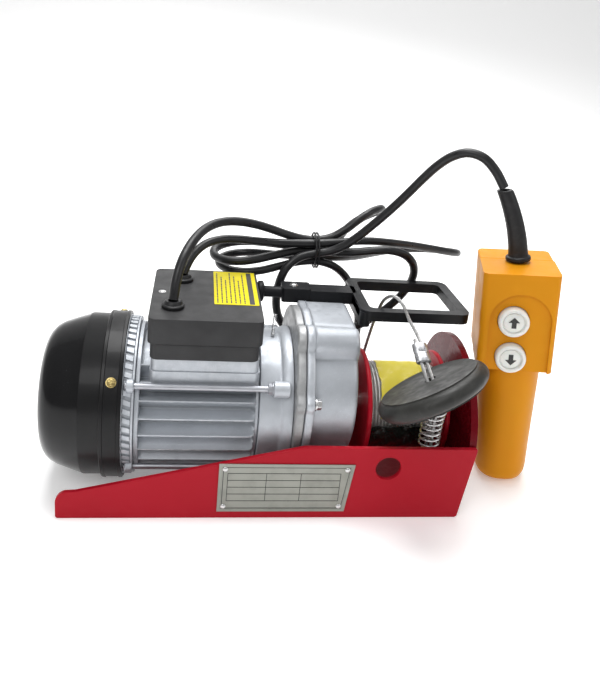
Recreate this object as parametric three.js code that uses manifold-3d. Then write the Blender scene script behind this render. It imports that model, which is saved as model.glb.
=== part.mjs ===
// An electric wire rope hoist, lying on its mounting face: a finned motor with a fan cover, a gearbox,
// a rope drum between two side plates, a limit lever, a hook line and a wired two-button pendant.
// Millimetres. +X runs along the motor towards the drum's far end, the front is -Y, and z = 0 is the
// underside of the mounting web. The origin is below the motor's axis, midway along the web.

import * as THREE from 'three';
import { mergeVertices } from 'three/addons/utils/BufferGeometryUtils.js';
import Module from 'manifold-3d';

const wasm = await Module();
wasm.setup();

// ---------------------------------------------------------------- driving dimensions

const GAP = 0.3; // clearance between pieces that touch
const LEDGE = GAP / 2;

// frame
const SHEET = 4; // thickness of the side plates and the web
const FRONT = -75; // outer face of the front side plate
const BACK = 83; // outer face of the back side plate
const MIDDLE = (FRONT + BACK) / 2; // the frame's own middle, across
const PLATE_TOP = 67; // height of the side plates
const PLATE_LEFT = -256; // left tip of the side plates
const TIP_HEIGHT = 24; // height of a side plate near its tip
const SLOPE_END = -72; // where the tapered horn reaches full height
const WEB_RIGHT = 72; // right end of the web
const END_FOOT = 68; // x of the end plate's left face at the web
const END_TOP = 76; // x of the end plate's left face above the side plates
const END_SHEET = 6; // thickness of the end plate
const ARCH_RADIUS = 75; // rounded top of the end plate
const ARCH_Z = 55; // height of that arc's centre
const SIGHT_HOLE = { x: 8, z: 48, r: 10.5 }; // round hole in both side plates
const WEB_HOLE = { x: 48, y: 48, r: 5.5 }; // mounting holes in the web, at plus and minus x and y

// motor
const MOTOR_Z = 71.5; // height of the motor's axis
const COVER_RIM = -207.7; // open edge of the fan cover
const COVER_SEAM = -224.3; // step between the cover's band and its dome
const COVER_END = -274; // closed end of the fan cover
const COVER_R = 70.4; // radius of the band
const DOME_R = 67.6; // radius of the dome
const HOUSING = { left: -198.4, right: -100, bore: 48, body: 54, fin: 62, fins: 27 };
const SHIELD = { left: -207.3, right: -72.3, rear_r: 66, front_r: 59 };
const ROD = { ring: 66, angle: 33.5, r: 2.6, left: -206.5, right: -74.5 };
const BEARING = { bore: 7, outer: 15, width: 10 };
const SHAFT_R = BEARING.bore - GAP;

// gear train: module and tooth counts
const MODULE = 1.25;
const TEETH = { motor: 8, wheel: 48, pinion: 8, output: 54 };
const DRUM_Z = 67; // height of the drum's axis
const FIRST_CENTRES = (MODULE * (TEETH.motor + TEETH.wheel)) / 2;
const SECOND_CENTRES = (MODULE * (TEETH.pinion + TEETH.output)) / 2;

// gearbox
const BOX_Z = 86; // centre of the round gearbox, above both shafts
const FLANGE_R = 68.3;
const BARREL_R = 59.4;
const CAVITY_R = 56.5;
const COVER_PLATE = { left: -72, right: -64.3 };
const GEARCASE = { left: -64, flange: -57, right: -20, wall: 5 };

// drum and rope
const DRUM = { left: -7.2, right: 65, flange_r: 48.5, flange: 4, tube_r: 28, shaft_r: 8 };
const WINDING_R = 37;
const ROPE_R = 1.5;

// limit lever
const LEVER = { y: 43, z: 153, front: -8, back: 74, left: -14, right: 84, top: 158.5, bar: 9, skirt: 15 };

// hook line
const DISC = { x: 34.5, y: -74, z: 120.5, r: 46.5, t: 17, hole: 13 };
const DISC_NORMAL = new THREE.Vector3(-0.46, 0.33, 0.83).normalize();
const HOOK = { x: 44, y: -60, eye_z: 52, eye_hole: 4.7, thick: 9, eye_thick: 5.5 };
const SPRING = { r: 8.4, wire: 0.9, low: 61.5, high: 103, turns: 8, lean: [-1, -8] };

// terminal box
const BOX = { left: -190, right: -101, front: -55, back: 58, low: 130, seam: 144, top: 165 };

// pendant, in its own frame: width along x, depth along y with the buttons at -y, standing on z = 0
const PENDANT = {
  place: [139, -4.5, 2.4], yaw: -16, lean: -5.5, width: 63, depth: 74, height: 206,
  grip_width: 47, shoulder: 118, seam: 6, wall: 3,
};
const BOOT = { top: 62, lift: 1.4, lean: -4, bend: 12 }; // cable boot on top of the pendant
const BUTTON = { r: 13, up_z: 164, down_z: 131, x: -4, rise: 4 };

// cables
const PENDANT_CABLE_R = 4;
const TIE = { x: -45, y: 78, z: 183, pitch: 9, straight: 18 }; // where the loops are tied together
const MIDDLE_STRAND = -1;
const PENDANT_STEPS = 80;
const MAINS_STEPS = 60;
const EASING = 2; // how far a cable's bends are rounded
const MAINS_R = 3.8;

// ---------------------------------------------------------------- helpers

const deg = (angle) => (angle * Math.PI) / 180;

const COLOURS = {
  red: [0xa81b2b, 0.35, 0.1],
  black: [0x17181a, 0.35, 0],
  box: [0x26282b, 0.6, 0],
  casting: [0xb4b8bd, 0.45, 0.85],
  steel: [0x9a9da2, 0.3, 0.95],
  dark_steel: [0x55585c, 0.4, 0.9],
  copper: [0xb0672d, 0.4, 0.8],
  brass: [0xc9a24a, 0.3, 0.9],
  rubber: [0x2c2c2b, 0.8, 0],
  cable: [0x1a1a1c, 0.55, 0],
  orange: [0xd69120, 0.4, 0],
  white: [0xe8e8e4, 0.4, 0],
  yellow: [0xd8cf2a, 0.6, 0],
  plate: [0x9aa0a4, 0.4, 0.7],
};

function finish(name) {
  const [color, roughness, metalness] = COLOURS[name];
  return new THREE.MeshStandardMaterial({ color, roughness, metalness });
}

function withoutFlatTriangles(geometry) {
  const index = [];
  for (let i = 0; i < geometry.index.count; i += 3) {
    const [a, b, c] = [0, 1, 2].map((k) => geometry.index.getX(i + k));
    if (a !== b && b !== c && c !== a) index.push(a, b, c);
  }
  return index;
}

function signedVolume(position, index) {
  let volume = 0;
  const [a, b, c] = [new THREE.Vector3(), new THREE.Vector3(), new THREE.Vector3()];
  for (let i = 0; i < index.length; i += 3) {
    a.fromBufferAttribute(position, index[i]);
    b.fromBufferAttribute(position, index[i + 1]);
    c.fromBufferAttribute(position, index[i + 2]);
    volume += a.dot(b.cross(c)) / 6;
  }
  return volume;
}

// A closed solid from a closed three.js geometry, with its faces turned outwards.
function solid(geometry) {
  const plain = geometry.clone();
  plain.deleteAttribute('normal');
  plain.deleteAttribute('uv');
  const merged = mergeVertices(plain, 1e-3);
  const index = withoutFlatTriangles(merged);
  if (signedVolume(merged.attributes.position, index) < 0) index.reverse();
  return new wasm.Manifold(new wasm.Mesh({
    numProp: 3,
    vertProperties: new Float32Array(merged.attributes.position.array),
    triVerts: new Uint32Array(index),
  }));
}

const joined = (...shapes) => shapes.reduce((all, next) => all.add(next));
const cut = (shape, ...tools) => tools.reduce((rest, tool) => rest.subtract(tool), shape);

function toGeometry(shape) {
  const mesh = shape.getMesh();
  const geometry = new THREE.BufferGeometry();
  geometry.setAttribute('position', new THREE.BufferAttribute(mesh.vertProperties, 3));
  geometry.setIndex(new THREE.BufferAttribute(mesh.triVerts, 1));
  return geometry;
}

function block([x0, x1], [y0, y1], [z0, z1]) {
  const geometry = new THREE.BoxGeometry(x1 - x0, y1 - y0, z1 - z0);
  return solid(geometry.translate((x0 + x1) / 2, (y0 + y1) / 2, (z0 + z1) / 2));
}

// A closed outline of [u, v] points, with optional holes of the same form.
function outline(points, holes = []) {
  const shape = new THREE.Shape(points.map(([u, v]) => new THREE.Vector2(u, v)));
  shape.holes = holes.map((hole) => new THREE.Path(hole.map(([u, v]) => new THREE.Vector2(u, v))));
  return shape;
}

function extruded(shape, depth) {
  return new THREE.ExtrudeGeometry(shape, { depth, bevelEnabled: false, curveSegments: 8 });
}

// An outline in (y, z), carried along X.
function alongX(shape, x0, x1) {
  const [Y, Z, X] = [[0, 1, 0], [0, 0, 1], [1, 0, 0]].map((axis) => new THREE.Vector3(...axis));
  const upright = extruded(shape, x1 - x0).applyMatrix4(new THREE.Matrix4().makeBasis(Y, Z, X));
  return solid(upright.translate(x0, 0, 0));
}

// An outline in (x, z), carried along Y.
function alongY(shape, y0, y1) {
  const turned = extruded(shape, y1 - y0).rotateX(Math.PI / 2);
  return solid(turned.translate(0, y1, 0));
}

// An outline in (x, y), carried along Z.
function alongZ(shape, z0, z1) {
  return solid(extruded(shape, z1 - z0).translate(0, 0, z0));
}

function circle(u, v, r, count = 32) {
  return Array.from({ length: count }, (_, i) => {
    const angle = (2 * Math.PI * i) / count;
    return [u + r * Math.cos(angle), v + r * Math.sin(angle)];
  });
}

function arc(u, v, r, from, to, count = 8) {
  return Array.from({ length: count + 1 }, (_, i) => {
    const angle = deg(from + ((to - from) * i) / count);
    return [u + r * Math.cos(angle), v + r * Math.sin(angle)];
  });
}

function roundedBox(u0, u1, v0, v1, r, count = 3) {
  return [
    ...arc(u1 - r, v1 - r, r, 0, 90, count),
    ...arc(u0 + r, v1 - r, r, 90, 180, count),
    ...arc(u0 + r, v0 + r, r, 180, 270, count),
    ...arc(u1 - r, v0 + r, r, 270, 360, count),
  ];
}

// A profile of [x, r] points turned about a line along X at (y, z).
function turned(profile, y, z, segments = 32) {
  const geometry = new THREE.LatheGeometry(profile.map(([x, r]) => new THREE.Vector2(r, x)), segments);
  return solid(geometry.rotateZ(-Math.PI / 2).translate(0, y, z));
}

const rodX = (x0, x1, r, y, z, segments = 24) => turned([[x0, 0], [x0, r], [x1, r], [x1, 0]], y, z, segments);

function ringX(x0, x1, inner, outer, y, z, segments = 32) {
  return turned([[x0, inner], [x0, outer], [x1, outer], [x1, inner], [x0, inner]], y, z, segments);
}

// A rod between two points.
function rod(from, to, r, segments = 12) {
  const [a, b] = [new THREE.Vector3(...from), new THREE.Vector3(...to)];
  const geometry = new THREE.CylinderGeometry(r, r, a.distanceTo(b), segments);
  const direction = b.clone().sub(a).normalize();
  const turn = new THREE.Quaternion().setFromUnitVectors(new THREE.Vector3(0, 1, 0), direction);
  return solid(geometry.applyQuaternion(turn).translate(...a.add(b).multiplyScalar(0.5).toArray()));
}

// A round bar along a curve.
function bar(curve, r, sides, steps) {
  const section = outline(circle(0, 0, r, sides));
  return new THREE.ExtrudeGeometry(section, { extrudePath: curve, steps, bevelEnabled: false });
}

const route = (points) => new THREE.CatmullRomCurve3(points.map((point) => new THREE.Vector3(...point)));

// A cable's centre line: even steps along its route, with every bend eased by its neighbours.
function centreLine(points, steps) {
  const places = route(points).getSpacedPoints(steps);
  for (let pass = 0; pass < EASING; pass += 1) {
    const before = places.map((place) => place.clone());
    for (let i = 1; i < steps; i += 1) {
      places[i].multiplyScalar(2).add(before[i - 1]).add(before[i + 1]).multiplyScalar(1 / 4);
    }
  }
  return new THREE.CatmullRomCurve3(places);
}

function piece(name, shape, colour) {
  const mesh = new THREE.Mesh(shape.isBufferGeometry ? shape : toGeometry(shape), finish(colour));
  mesh.name = name;
  return mesh;
}

const aroundMotor = (angle, r) => [r * Math.cos(deg(angle)), MOTOR_Z + r * Math.sin(deg(angle))];

// ---------------------------------------------------------------- frame

// x of the end plate's left face at a height
function endFace(z) {
  return END_FOOT + ((END_TOP - END_FOOT) * Math.min(z, PLATE_TOP)) / PLATE_TOP;
}

function sidePlate(name, y0) {
  const corner = TIP_HEIGHT - 8;
  const shape = outline([
    [PLATE_LEFT, 0], [endFace(0) + END_SHEET, 0], [endFace(PLATE_TOP) + END_SHEET, PLATE_TOP],
    [SLOPE_END, PLATE_TOP], [PLATE_LEFT + 12, TIP_HEIGHT],
    ...arc(PLATE_LEFT + 10, corner, 10, 125, 180, 4).map(([u, v]) => [Math.max(u, PLATE_LEFT), v]),
  ], [circle(SIGHT_HOLE.x, SIGHT_HOLE.z, SIGHT_HOLE.r, 28)]);
  return piece(name, alongY(shape, y0, y0 + SHEET), 'red');
}

function mountingWeb() {
  const { x, y, r } = WEB_HOLE;
  const holes = [[-x, MIDDLE - y], [x, MIDDLE - y], [x, MIDDLE + y], [-x, MIDDLE + y]];
  const [x0, x1] = [-WEB_RIGHT, END_FOOT - GAP];
  const [y0, y1] = [FRONT + SHEET + GAP, BACK - SHEET - GAP];
  const shape = outline([[x0, y0], [x1, y0], [x1, y1], [x0, y1]], holes.map(([u, v]) => circle(u, v, r, 16)));
  return piece('mounting_web', alongZ(shape, 0, SHEET), 'red');
}

function drumEndPlate() {
  const [y0, y1] = [FRONT + SHEET + GAP, BACK - SHEET - GAP];
  const top = ARCH_Z + ARCH_RADIUS;
  const bend = outline([
    [END_FOOT, 0], [END_FOOT + END_SHEET, 0], [END_TOP + END_SHEET, PLATE_TOP], [END_TOP + END_SHEET, top],
    [END_TOP, top], [END_TOP, PLATE_TOP],
  ]);
  const face = outline([[y0, 0], [y1, 0], ...arc(MIDDLE, ARCH_Z, ARCH_RADIUS, 2, 178, 20), [y0, ARCH_Z]]
    .filter(([u]) => u >= y0 - 1e-6 && u <= y1 + 1e-6), [circle(0, DRUM_Z, BEARING.outer + GAP, 24)]);
  const sheet = alongY(bend, y0, y1);
  return piece('drum_end_plate', sheet.intersect(alongX(face, END_FOOT - 1, END_TOP + END_SHEET + 1)), 'red');
}

function nameplate() {
  const [x0, x1, z0, z1] = [-130, -20, 7, 52];
  const face = FRONT - LEDGE;
  const sheet = alongY(outline([[x0, z0], [x1 - 5, z0], [x1, z1], [x0, z1]]), face - 0.8, face);
  const corners = [[x0 + 5, z0 + 5], [x1 - 10, z0 + 5], [x1 - 6, z1 - 5], [x0 + 5, z1 - 5]];
  const rivets = corners.map(([x, z]) => rod([x, face - 2, z], [x, face - 0.4, z], 2, 10));
  return piece('nameplate', joined(sheet, ...rivets), 'plate');
}

// ---------------------------------------------------------------- motor

function fanCover() {
  const wall = 2.6;
  const shell = turned([
    [COVER_END + wall, 0], [COVER_END + wall, 45], [-268, 51.5], [-259.5, 57.6], [-240.5, DOME_R - wall],
    [COVER_SEAM + wall, DOME_R - wall], [COVER_SEAM + wall, COVER_R - wall], [COVER_RIM, COVER_R - wall],
    [COVER_RIM, COVER_R], [COVER_SEAM, COVER_R], [COVER_SEAM, DOME_R],
    [-241, DOME_R], [-261, 60], [-270, 54], [COVER_END, 46], [COVER_END, 0],
  ], 0, MOTOR_Z, 32);
  const slots = [];
  for (let i = 0; i < 8; i += 1) {
    const [y0, z0] = aroundMotor(45 * i + 22.5, 16);
    const [y1, z1] = aroundMotor(45 * i + 22.5, 40);
    const width = 3;
    const [u, v] = [-Math.sin(deg(45 * i + 22.5)) * width, Math.cos(deg(45 * i + 22.5)) * width];
    slots.push(alongX(outline([
      [y0 - u, z0 - v], [y1 - u, z1 - v], [y1 + u, z1 + v], [y0 + u, z0 + v],
    ]), COVER_END - 2, COVER_END + wall + 2));
  }
  return piece('fan_cover', cut(shell, ...slots), 'black');
}

function coverScrew(name, angle) {
  const [x, inner, outer] = [(COVER_RIM + COVER_SEAM) / 2, COVER_R + LEDGE, COVER_R + 2];
  const [a, b] = [aroundMotor(angle, inner), aroundMotor(angle, outer)];
  return piece(name, rod([x, ...a], [x, ...b], 3.4, 12), 'brass');
}

function coolingFan() {
  const hub = ringX(-254, -226, SHAFT_R + GAP, 14, 0, MOTOR_Z, 24);
  const disc = ringX(-232, -229, 12, 56, 0, MOTOR_Z, 32);
  const blades = [];
  for (let i = 0; i < 7; i += 1) {
    const turn = new THREE.Matrix4().makeRotationX(deg((360 * i) / 7));
    const blade = new THREE.BoxGeometry(22, 42, 2.4).translate(-241, 34, 0).applyMatrix4(turn);
    blades.push(solid(blade.translate(0, 0, MOTOR_Z)));
  }
  return piece('cooling_fan', joined(hub, disc, ...blades), 'black');
}

function lugs(x0, x1, r) {
  return [ROD.angle, 180 - ROD.angle, 180 + ROD.angle, -ROD.angle].map((angle) => {
    const [y, z] = aroundMotor(angle, ROD.ring);
    return rodX(x0, x1, r, y, z, 8);
  });
}

function rearEndShield() {
  const rim = turned([
    [SHIELD.left, 60], [-221, 60], [-221, 67.2], [SHIELD.left, 67.2], [SHIELD.left, SHIELD.rear_r],
    [HOUSING.left - GAP, SHIELD.rear_r], [HOUSING.left - GAP, BEARING.outer + GAP],
    [-211, BEARING.outer + GAP], [-211, BEARING.outer - 3], [-215, BEARING.outer - 3], [-215, 20],
    [SHIELD.left + 3, 22], [SHIELD.left + 3, 60], [SHIELD.left, 60],
  ], 0, MOTOR_Z, 32);
  const ears = lugs(-205, HOUSING.left - GAP, 5.5);
  return piece('rear_end_shield', cut(joined(rim, ...ears), ...lugs(-230, -190, ROD.r + GAP)), 'casting');
}

// Fins stand all round the housing except under the terminal box's pedestal.
function motorHousing() {
  const { left, right, bore, body, fin, fins } = HOUSING;
  const points = [];
  for (let i = 0; i < fins; i += 1) {
    const middle = -90 + ((i + 0.5) * 360) / fins;
    const under = Math.abs(((middle - 90 + 540) % 360) - 180) < 34;
    points.push([middle - 6, body]);
    points.push([middle - 1.6, under ? body : body + 1], [middle - 1, under ? body : fin]);
    points.push([middle + 1, under ? body : fin], [middle + 1.6, under ? body : body + 1]);
  }
  const shell = alongX(outline(points.map(([angle, r]) => aroundMotor(angle, r))), left, right);
  const pedestal = block([-187, -102], [-50, 50], [108, BOX.low - LEDGE]);
  const core = rodX(left - 1, right + 1, bore, 0, MOTOR_Z, 40);
  const wires = rod([-140, 0, 100], [-140, 0, 140], 9, 12);
  return piece('motor_housing', cut(joined(shell, pedestal), core, wires), 'casting');
}

function statorCore() {
  return piece('stator_core', ringX(-182, -116, 34, HOUSING.bore - GAP, 0, MOTOR_Z), 'dark_steel');
}

function statorWindings() {
  return piece('stator_windings', turned([
    [-194, 31], [-194, 44], [-182 - GAP, 44], [-182 - GAP, 34 - GAP], [-116 + GAP, 34 - GAP],
    [-116 + GAP, 44], [-104, 44], [-104, 31], [-194, 31],
  ], 0, MOTOR_Z, 28), 'copper');
}

const rotorCore = () => piece('rotor_core', ringX(-184, -114, SHAFT_R + GAP, 30, 0, MOTOR_Z), 'dark_steel');

function bearing(name, x0, z) {
  return piece(name, ringX(x0, x0 + BEARING.width, BEARING.bore, BEARING.outer, 0, z, 24), 'steel');
}

function frontEndShield() {
  const { right, front_r } = SHIELD;
  const x0 = HOUSING.right + GAP;
  const cup = turned([
    [x0, 50], [x0, front_r], [right - 10, front_r], [right - 3, 62], [right, 62],
    [right, BEARING.outer + GAP], [right - 8, BEARING.outer + GAP], [right - 8, 50], [x0, 50],
  ], 0, MOTOR_Z, 32);
  const ears = lugs(-86, -77, 6.5);
  return piece('front_end_shield', cut(joined(cup, ...ears), ...lugs(-110, -76, ROD.r + GAP)), 'casting');
}

function tieRod(name, angle) {
  const [y, z] = aroundMotor(angle, ROD.ring);
  return piece(name, rodX(ROD.left, ROD.right - 2, ROD.r, y, z, 12), 'steel');
}

// ---------------------------------------------------------------- gear train

// Where the countershaft stands: one centre distance from each of the two other shafts.
function countershaft() {
  const span = MOTOR_Z - DRUM_Z;
  const up = (SECOND_CENTRES ** 2 - FIRST_CENTRES ** 2 + MOTOR_Z ** 2 - DRUM_Z ** 2) / (2 * span);
  return { y: -Math.sqrt(FIRST_CENTRES ** 2 - (up - MOTOR_Z) ** 2), z: up };
}

const COUNTER = countershaft();

// Direction from one shaft to another in the (y, z) plane, in degrees.
const bearingFrom = (a, b) => (Math.atan2(b.z - a.z, b.y - a.y) * 180) / Math.PI;

// A straight-sided gear outline about (y, z), with a tooth centred on the angle given.
function gearOutline({ y, z }, teeth, toothAngle, slim) {
  const pitch = (MODULE * teeth) / 2;
  const quarter = 90 / teeth;
  const [root, tip] = [pitch - 1.3 * MODULE, pitch + 0.85 * MODULE];
  const points = [];
  for (let i = 0; i < teeth; i += 1) {
    const middle = toothAngle + (360 * i) / teeth;
    const corners = [[-1.45, root], [-0.45, tip], [0.45, tip], [1.45, root]];
    corners.forEach(([part, r]) => points.push([middle + part * quarter * slim, r]));
  }
  return outline(points.map(([angle, r]) => [y + r * Math.cos(deg(angle)), z + r * Math.sin(deg(angle))]));
}

const MOTOR_AXIS = { y: 0, z: MOTOR_Z };
const DRUM_AXIS = { y: 0, z: DRUM_Z };
const SLIM = 0.86; // tooth width against a full one, which leaves backlash

function rotorShaft() {
  const toothAngle = bearingFrom(MOTOR_AXIS, COUNTER);
  const pinion = alongX(gearOutline(MOTOR_AXIS, TEETH.motor, toothAngle, SLIM), -64, -50);
  const profile = [[-256, 0], [-256, SHAFT_R], [-66, SHAFT_R], [-64, 4], [-63, 3], [-63, 0]];
  const shaft = turned(profile, 0, MOTOR_Z, 24);
  return piece('rotor_shaft', joined(shaft, pinion), 'steel');
}

function intermediateGear() {
  const toGap = bearingFrom(COUNTER, MOTOR_AXIS) + 180 / TEETH.wheel;
  const wheel = alongX(gearOutline(COUNTER, TEETH.wheel, toGap, SLIM), -62, -52);
  return piece('intermediate_gear', cut(wheel, rodX(-66, -48, 5.5, COUNTER.y, COUNTER.z, 16)), 'steel');
}

function intermediatePinion() {
  const toothAngle = bearingFrom(COUNTER, DRUM_AXIS);
  const pinion = alongX(gearOutline(COUNTER, TEETH.pinion, toothAngle, SLIM), -49, -34);
  const shaft = turned([
    [-68, 0], [-68, 4.5], [-62, 4.5], [-62, 5.2], [-51, 5.2], [-51, 4], [-28, 4], [-28, 0],
  ], COUNTER.y, COUNTER.z, 16);
  return piece('intermediate_pinion', joined(shaft, pinion), 'steel');
}

function outputGear() {
  const toGap = bearingFrom(DRUM_AXIS, COUNTER) + 180 / TEETH.output;
  const wheel = alongX(gearOutline(DRUM_AXIS, TEETH.output, toGap, SLIM), -47, -36);
  return piece('output_gear', cut(wheel, rodX(-60, -30, DRUM.shaft_r + GAP, 0, DRUM_Z, 20)), 'steel');
}

function drumShaft() {
  return piece('drum_shaft', turned([
    [-48, 0], [-48, DRUM.shaft_r], [-33, DRUM.shaft_r], [-33, SHAFT_R], [-18, SHAFT_R], [-18, DRUM.shaft_r],
    [66, DRUM.shaft_r], [66, SHAFT_R], [88, SHAFT_R], [88, 0],
  ], 0, DRUM_Z, 24), 'steel');
}

// ---------------------------------------------------------------- gearbox

function gearboxCover() {
  const { left, right } = COVER_PLATE;
  const disc = rodX(left, right, FLANGE_R, 0, BOX_Z, 36);
  const nose = rodX(left - 1, right + 1, BEARING.bore + 2, 0, MOTOR_Z, 20);
  const seat = rodX(-69, right + 1, 5, COUNTER.y, COUNTER.z, 16);
  return piece('gearbox_cover', cut(disc, nose, seat), 'casting');
}

// The ridge along the top front is the countershaft's boss carried out to the flange.
function gearboxHousing() {
  const { left, flange, right, wall } = GEARCASE;
  const rim = rodX(left, flange, FLANGE_R, 0, BOX_Z, 36);
  const barrel = rodX(left, right, BARREL_R, 0, BOX_Z, 36);
  const ridge = rodX(left, right, 13, -31, 139, 20);
  const deck = alongX(outline(roundedBox(-24, 34, 110, 150.5, 5)), left, right);
  const foot = (y) => block([left, right], [y - 11, y + 11], [SHEET + GAP, 50]);
  const cavity = rodX(left - 1, right - wall, CAVITY_R, 0, BOX_Z, 36);
  const bore = rodX(right - wall - 1, right + 1, BEARING.outer + GAP, 0, DRUM_Z, 24);
  const outside = joined(rim, barrel, ridge, deck, foot(-38), foot(38));
  const seat = ringX(right - 12, right - wall + 1, 5, 9, COUNTER.y, COUNTER.z, 20);
  const hub = ringX(right - 12, right, BEARING.outer + GAP, 20, 0, DRUM_Z, 24);
  return piece('gearbox_housing', joined(cut(outside, cavity, bore), seat, hub), 'casting');
}

function gearboxBolt(name, angle) {
  const [y, z] = [64 * Math.cos(deg(angle)), BOX_Z + 64 * Math.sin(deg(angle))];
  const x = GEARCASE.flange + LEDGE;
  return piece(name, rodX(x, x + 5.5, 4.6, y, z, 6), 'steel');
}

// ---------------------------------------------------------------- drum

function drum() {
  const { left, right, flange, flange_r, tube_r, shaft_r } = DRUM;
  return piece('drum', turned([
    [left, shaft_r + GAP], [left, flange_r], [left + flange, flange_r], [left + flange, tube_r],
    [right - flange, tube_r], [right - flange, flange_r], [right, flange_r], [right, shaft_r + GAP],
    [left, shaft_r + GAP],
  ], 0, DRUM_Z, 32), 'red');
}

function ropeWinding() {
  const [x0, x1] = [DRUM.left + DRUM.flange + GAP, DRUM.right - DRUM.flange - GAP];
  return piece('rope_winding', ringX(x0, x1, DRUM.tube_r + GAP, WINDING_R, 0, DRUM_Z, 36), 'steel');
}

// A paper label wrapped round the top front of the winding.
function ropeLabel() {
  const inner = WINDING_R + GAP;
  const points = [...arc(0, DRUM_Z, inner, 70, 190, 16), ...arc(0, DRUM_Z, inner + 0.8, 190, 70, 16)];
  return piece('rope_label', alongX(outline(points), 6, 50), 'yellow');
}

// ---------------------------------------------------------------- terminal box

function terminalBoxBase() {
  const { left, right, front, back, low, seam } = BOX;
  const outer = alongZ(outline(roundedBox(left + 2, right - 2, front + 2, back - 2, 6)), low, seam - GAP);
  const inner = alongZ(outline(roundedBox(left + 5, right - 5, front + 5, back - 5, 4)), low + 3, seam + 1);
  const wires = rod([-140, 0, low - 5], [-140, 0, low + 5], 9, 12);
  return piece('terminal_box_base', cut(outer, inner, wires), 'box');
}

function grommetHole([x, y]) {
  return rod([x, y, BOX.top - 8], [x, y, BOX.top + 8], 6.2, 16);
}

const FRONT_GROMMET = [-172, -30];
const BACK_GROMMET = [-166, 30];

function terminalBoxLid() {
  const { left, right, front, back, seam, top } = BOX;
  const outer = alongZ(outline(roundedBox(left, right, front, back, 6)), seam, top);
  const inner = alongZ(outline(roundedBox(left + 3, right - 3, front + 3, back - 3, 4)), seam - 1, top - 3);
  const lever = rod([right - 8, LEVER.y, LEVER.z], [right + 4, LEVER.y, LEVER.z], 6.5, 16);
  const screw = rod([-182, 2, top - 1], [-182, 2, top + 0.8], 3, 10);
  const lid = cut(outer, inner, lever, grommetHole(FRONT_GROMMET), grommetHole(BACK_GROMMET));
  return piece('terminal_box_lid', joined(lid, screw), 'box');
}

function grommet(name, [x, y]) {
  const z = BOX.top;
  const profile = [
    [z - 5, 4.6], [z - 5, 5.8], [z + LEDGE, 5.8], [z + LEDGE, 9], [z + 3, 9], [z + 6, 6.4],
    [z + 6, 4.6], [z - 5, 4.6],
  ];
  const shape = new THREE.LatheGeometry(profile.map(([h, r]) => new THREE.Vector2(r, h)), 20);
  return piece(name, solid(shape.rotateX(Math.PI / 2).translate(x, y, 0)), 'rubber');
}

const capacitor = () => piece('capacitor', rod([-160, -18, 149], [-118, -18, 149], 11, 16), 'white');

const limitSwitch = () => piece('limit_switch', block([-134, -114], [30, 50], [136, 152]), 'black');

// ---------------------------------------------------------------- limit lever

function limitLever() {
  const { y, z, front, back, left, right, top, bar: width, skirt } = LEVER;
  const window = roundedBox(left + width, right - width, front + width, back - width, 4);
  const loop = alongZ(outline(roundedBox(left, right, front, back, 5), [window]), top - width, top);
  const side = alongZ(outline(roundedBox(left, left + width, front, back, 3)), top - skirt, top - width + 1);
  const beam = block([-78, left + 1], [34, 52], [top - 10.5, top]);
  const spindle = rodX(BOX.right - 6, -77, 5, y, z, 16);
  const knob = rodX(BOX.right + 1, BOX.right + 7, 9.5, y, z, 20);
  return piece('limit_lever', joined(loop, side, beam, spindle, knob), 'black');
}

// The thin coil that pulls the lever back up, from the arm down to the end shield.
function leverSpring() {
  return piece('lever_spring', rod([-88, -4, 131.6], [-86, 6, 147], 1.8, 8), 'steel');
}

// ---------------------------------------------------------------- rope, hook and stop disc

const ROPE_ROUTE = [
  [3, 35.9, 82.1], [3, 34.6, 93], [3.2, 25, 118], [4.5, 13, 146], [8, 5.5, 165], [13.5, -3, 171.5],
  [19.5, -12, 167.5], [24, -20, 158], [29, -30, 149.8], [31.4, -41, 144], [33, -54, 136],
  [35.4, -65.4, 127.5], [37.8, -70.9, 120], [39.9, -74.4, 112.5], [42.2, -74.2, 105], [43.8, -69.4, 98],
  [44, -65.2, 91], [44, -64.9, 80], [44, -64.9, 56], [44, -63.9, 52.6], [44, -62, 50.7], [44, -60, 50.1],
  [44, -58, 50.7], [44, -56.1, 52.6], [44, -55.1, 56], [44, -55.1, 80], [43.6, -57, 90], [42, -62.4, 97.5],
  [39.6, -69.2, 104.5], [37, -71.6, 112], [33.6, -69.6, 120], [30.4, -64.4, 127.8], [28, -53.6, 136.3],
  [26.6, -41, 144.2], [26, -36.5, 147.2],
];

const ROPE_STEPS = 76;

function ropeLead() {
  return piece('rope_lead', bar(route(ROPE_ROUTE), ROPE_R, 8, ROPE_STEPS), 'steel');
}

// The crimp holds the rope's end against the standing part, so it is cut round both strands.
function ferrule() {
  const body = rod([28.9, -40.2, 144.8], [30.5, -55.2, 135.2], 6.5, 14);
  const strands = solid(bar(route(ROPE_ROUTE), ROPE_R + GAP, 8, ROPE_STEPS));
  return piece('ferrule', cut(body, strands), 'steel');
}

function stopDisc() {
  const { x, y, z, r, t, hole } = DISC;
  const half = t / 2;
  const rounding = half - 1;
  const edge = arc(0, 0, rounding, -60, 60, 4).map(([out, up]) => [up, out + r - rounding]);
  const profile = [[-half, hole], ...edge, [half, hole], [-half, hole]];
  const shape = new THREE.LatheGeometry(profile.map(([h, radius]) => new THREE.Vector2(radius, h)), 28);
  const turn = new THREE.Quaternion().setFromUnitVectors(new THREE.Vector3(0, 1, 0), DISC_NORMAL);
  return piece('stop_disc', solid(shape.applyQuaternion(turn).translate(x, y, z)), 'rubber');
}

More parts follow.
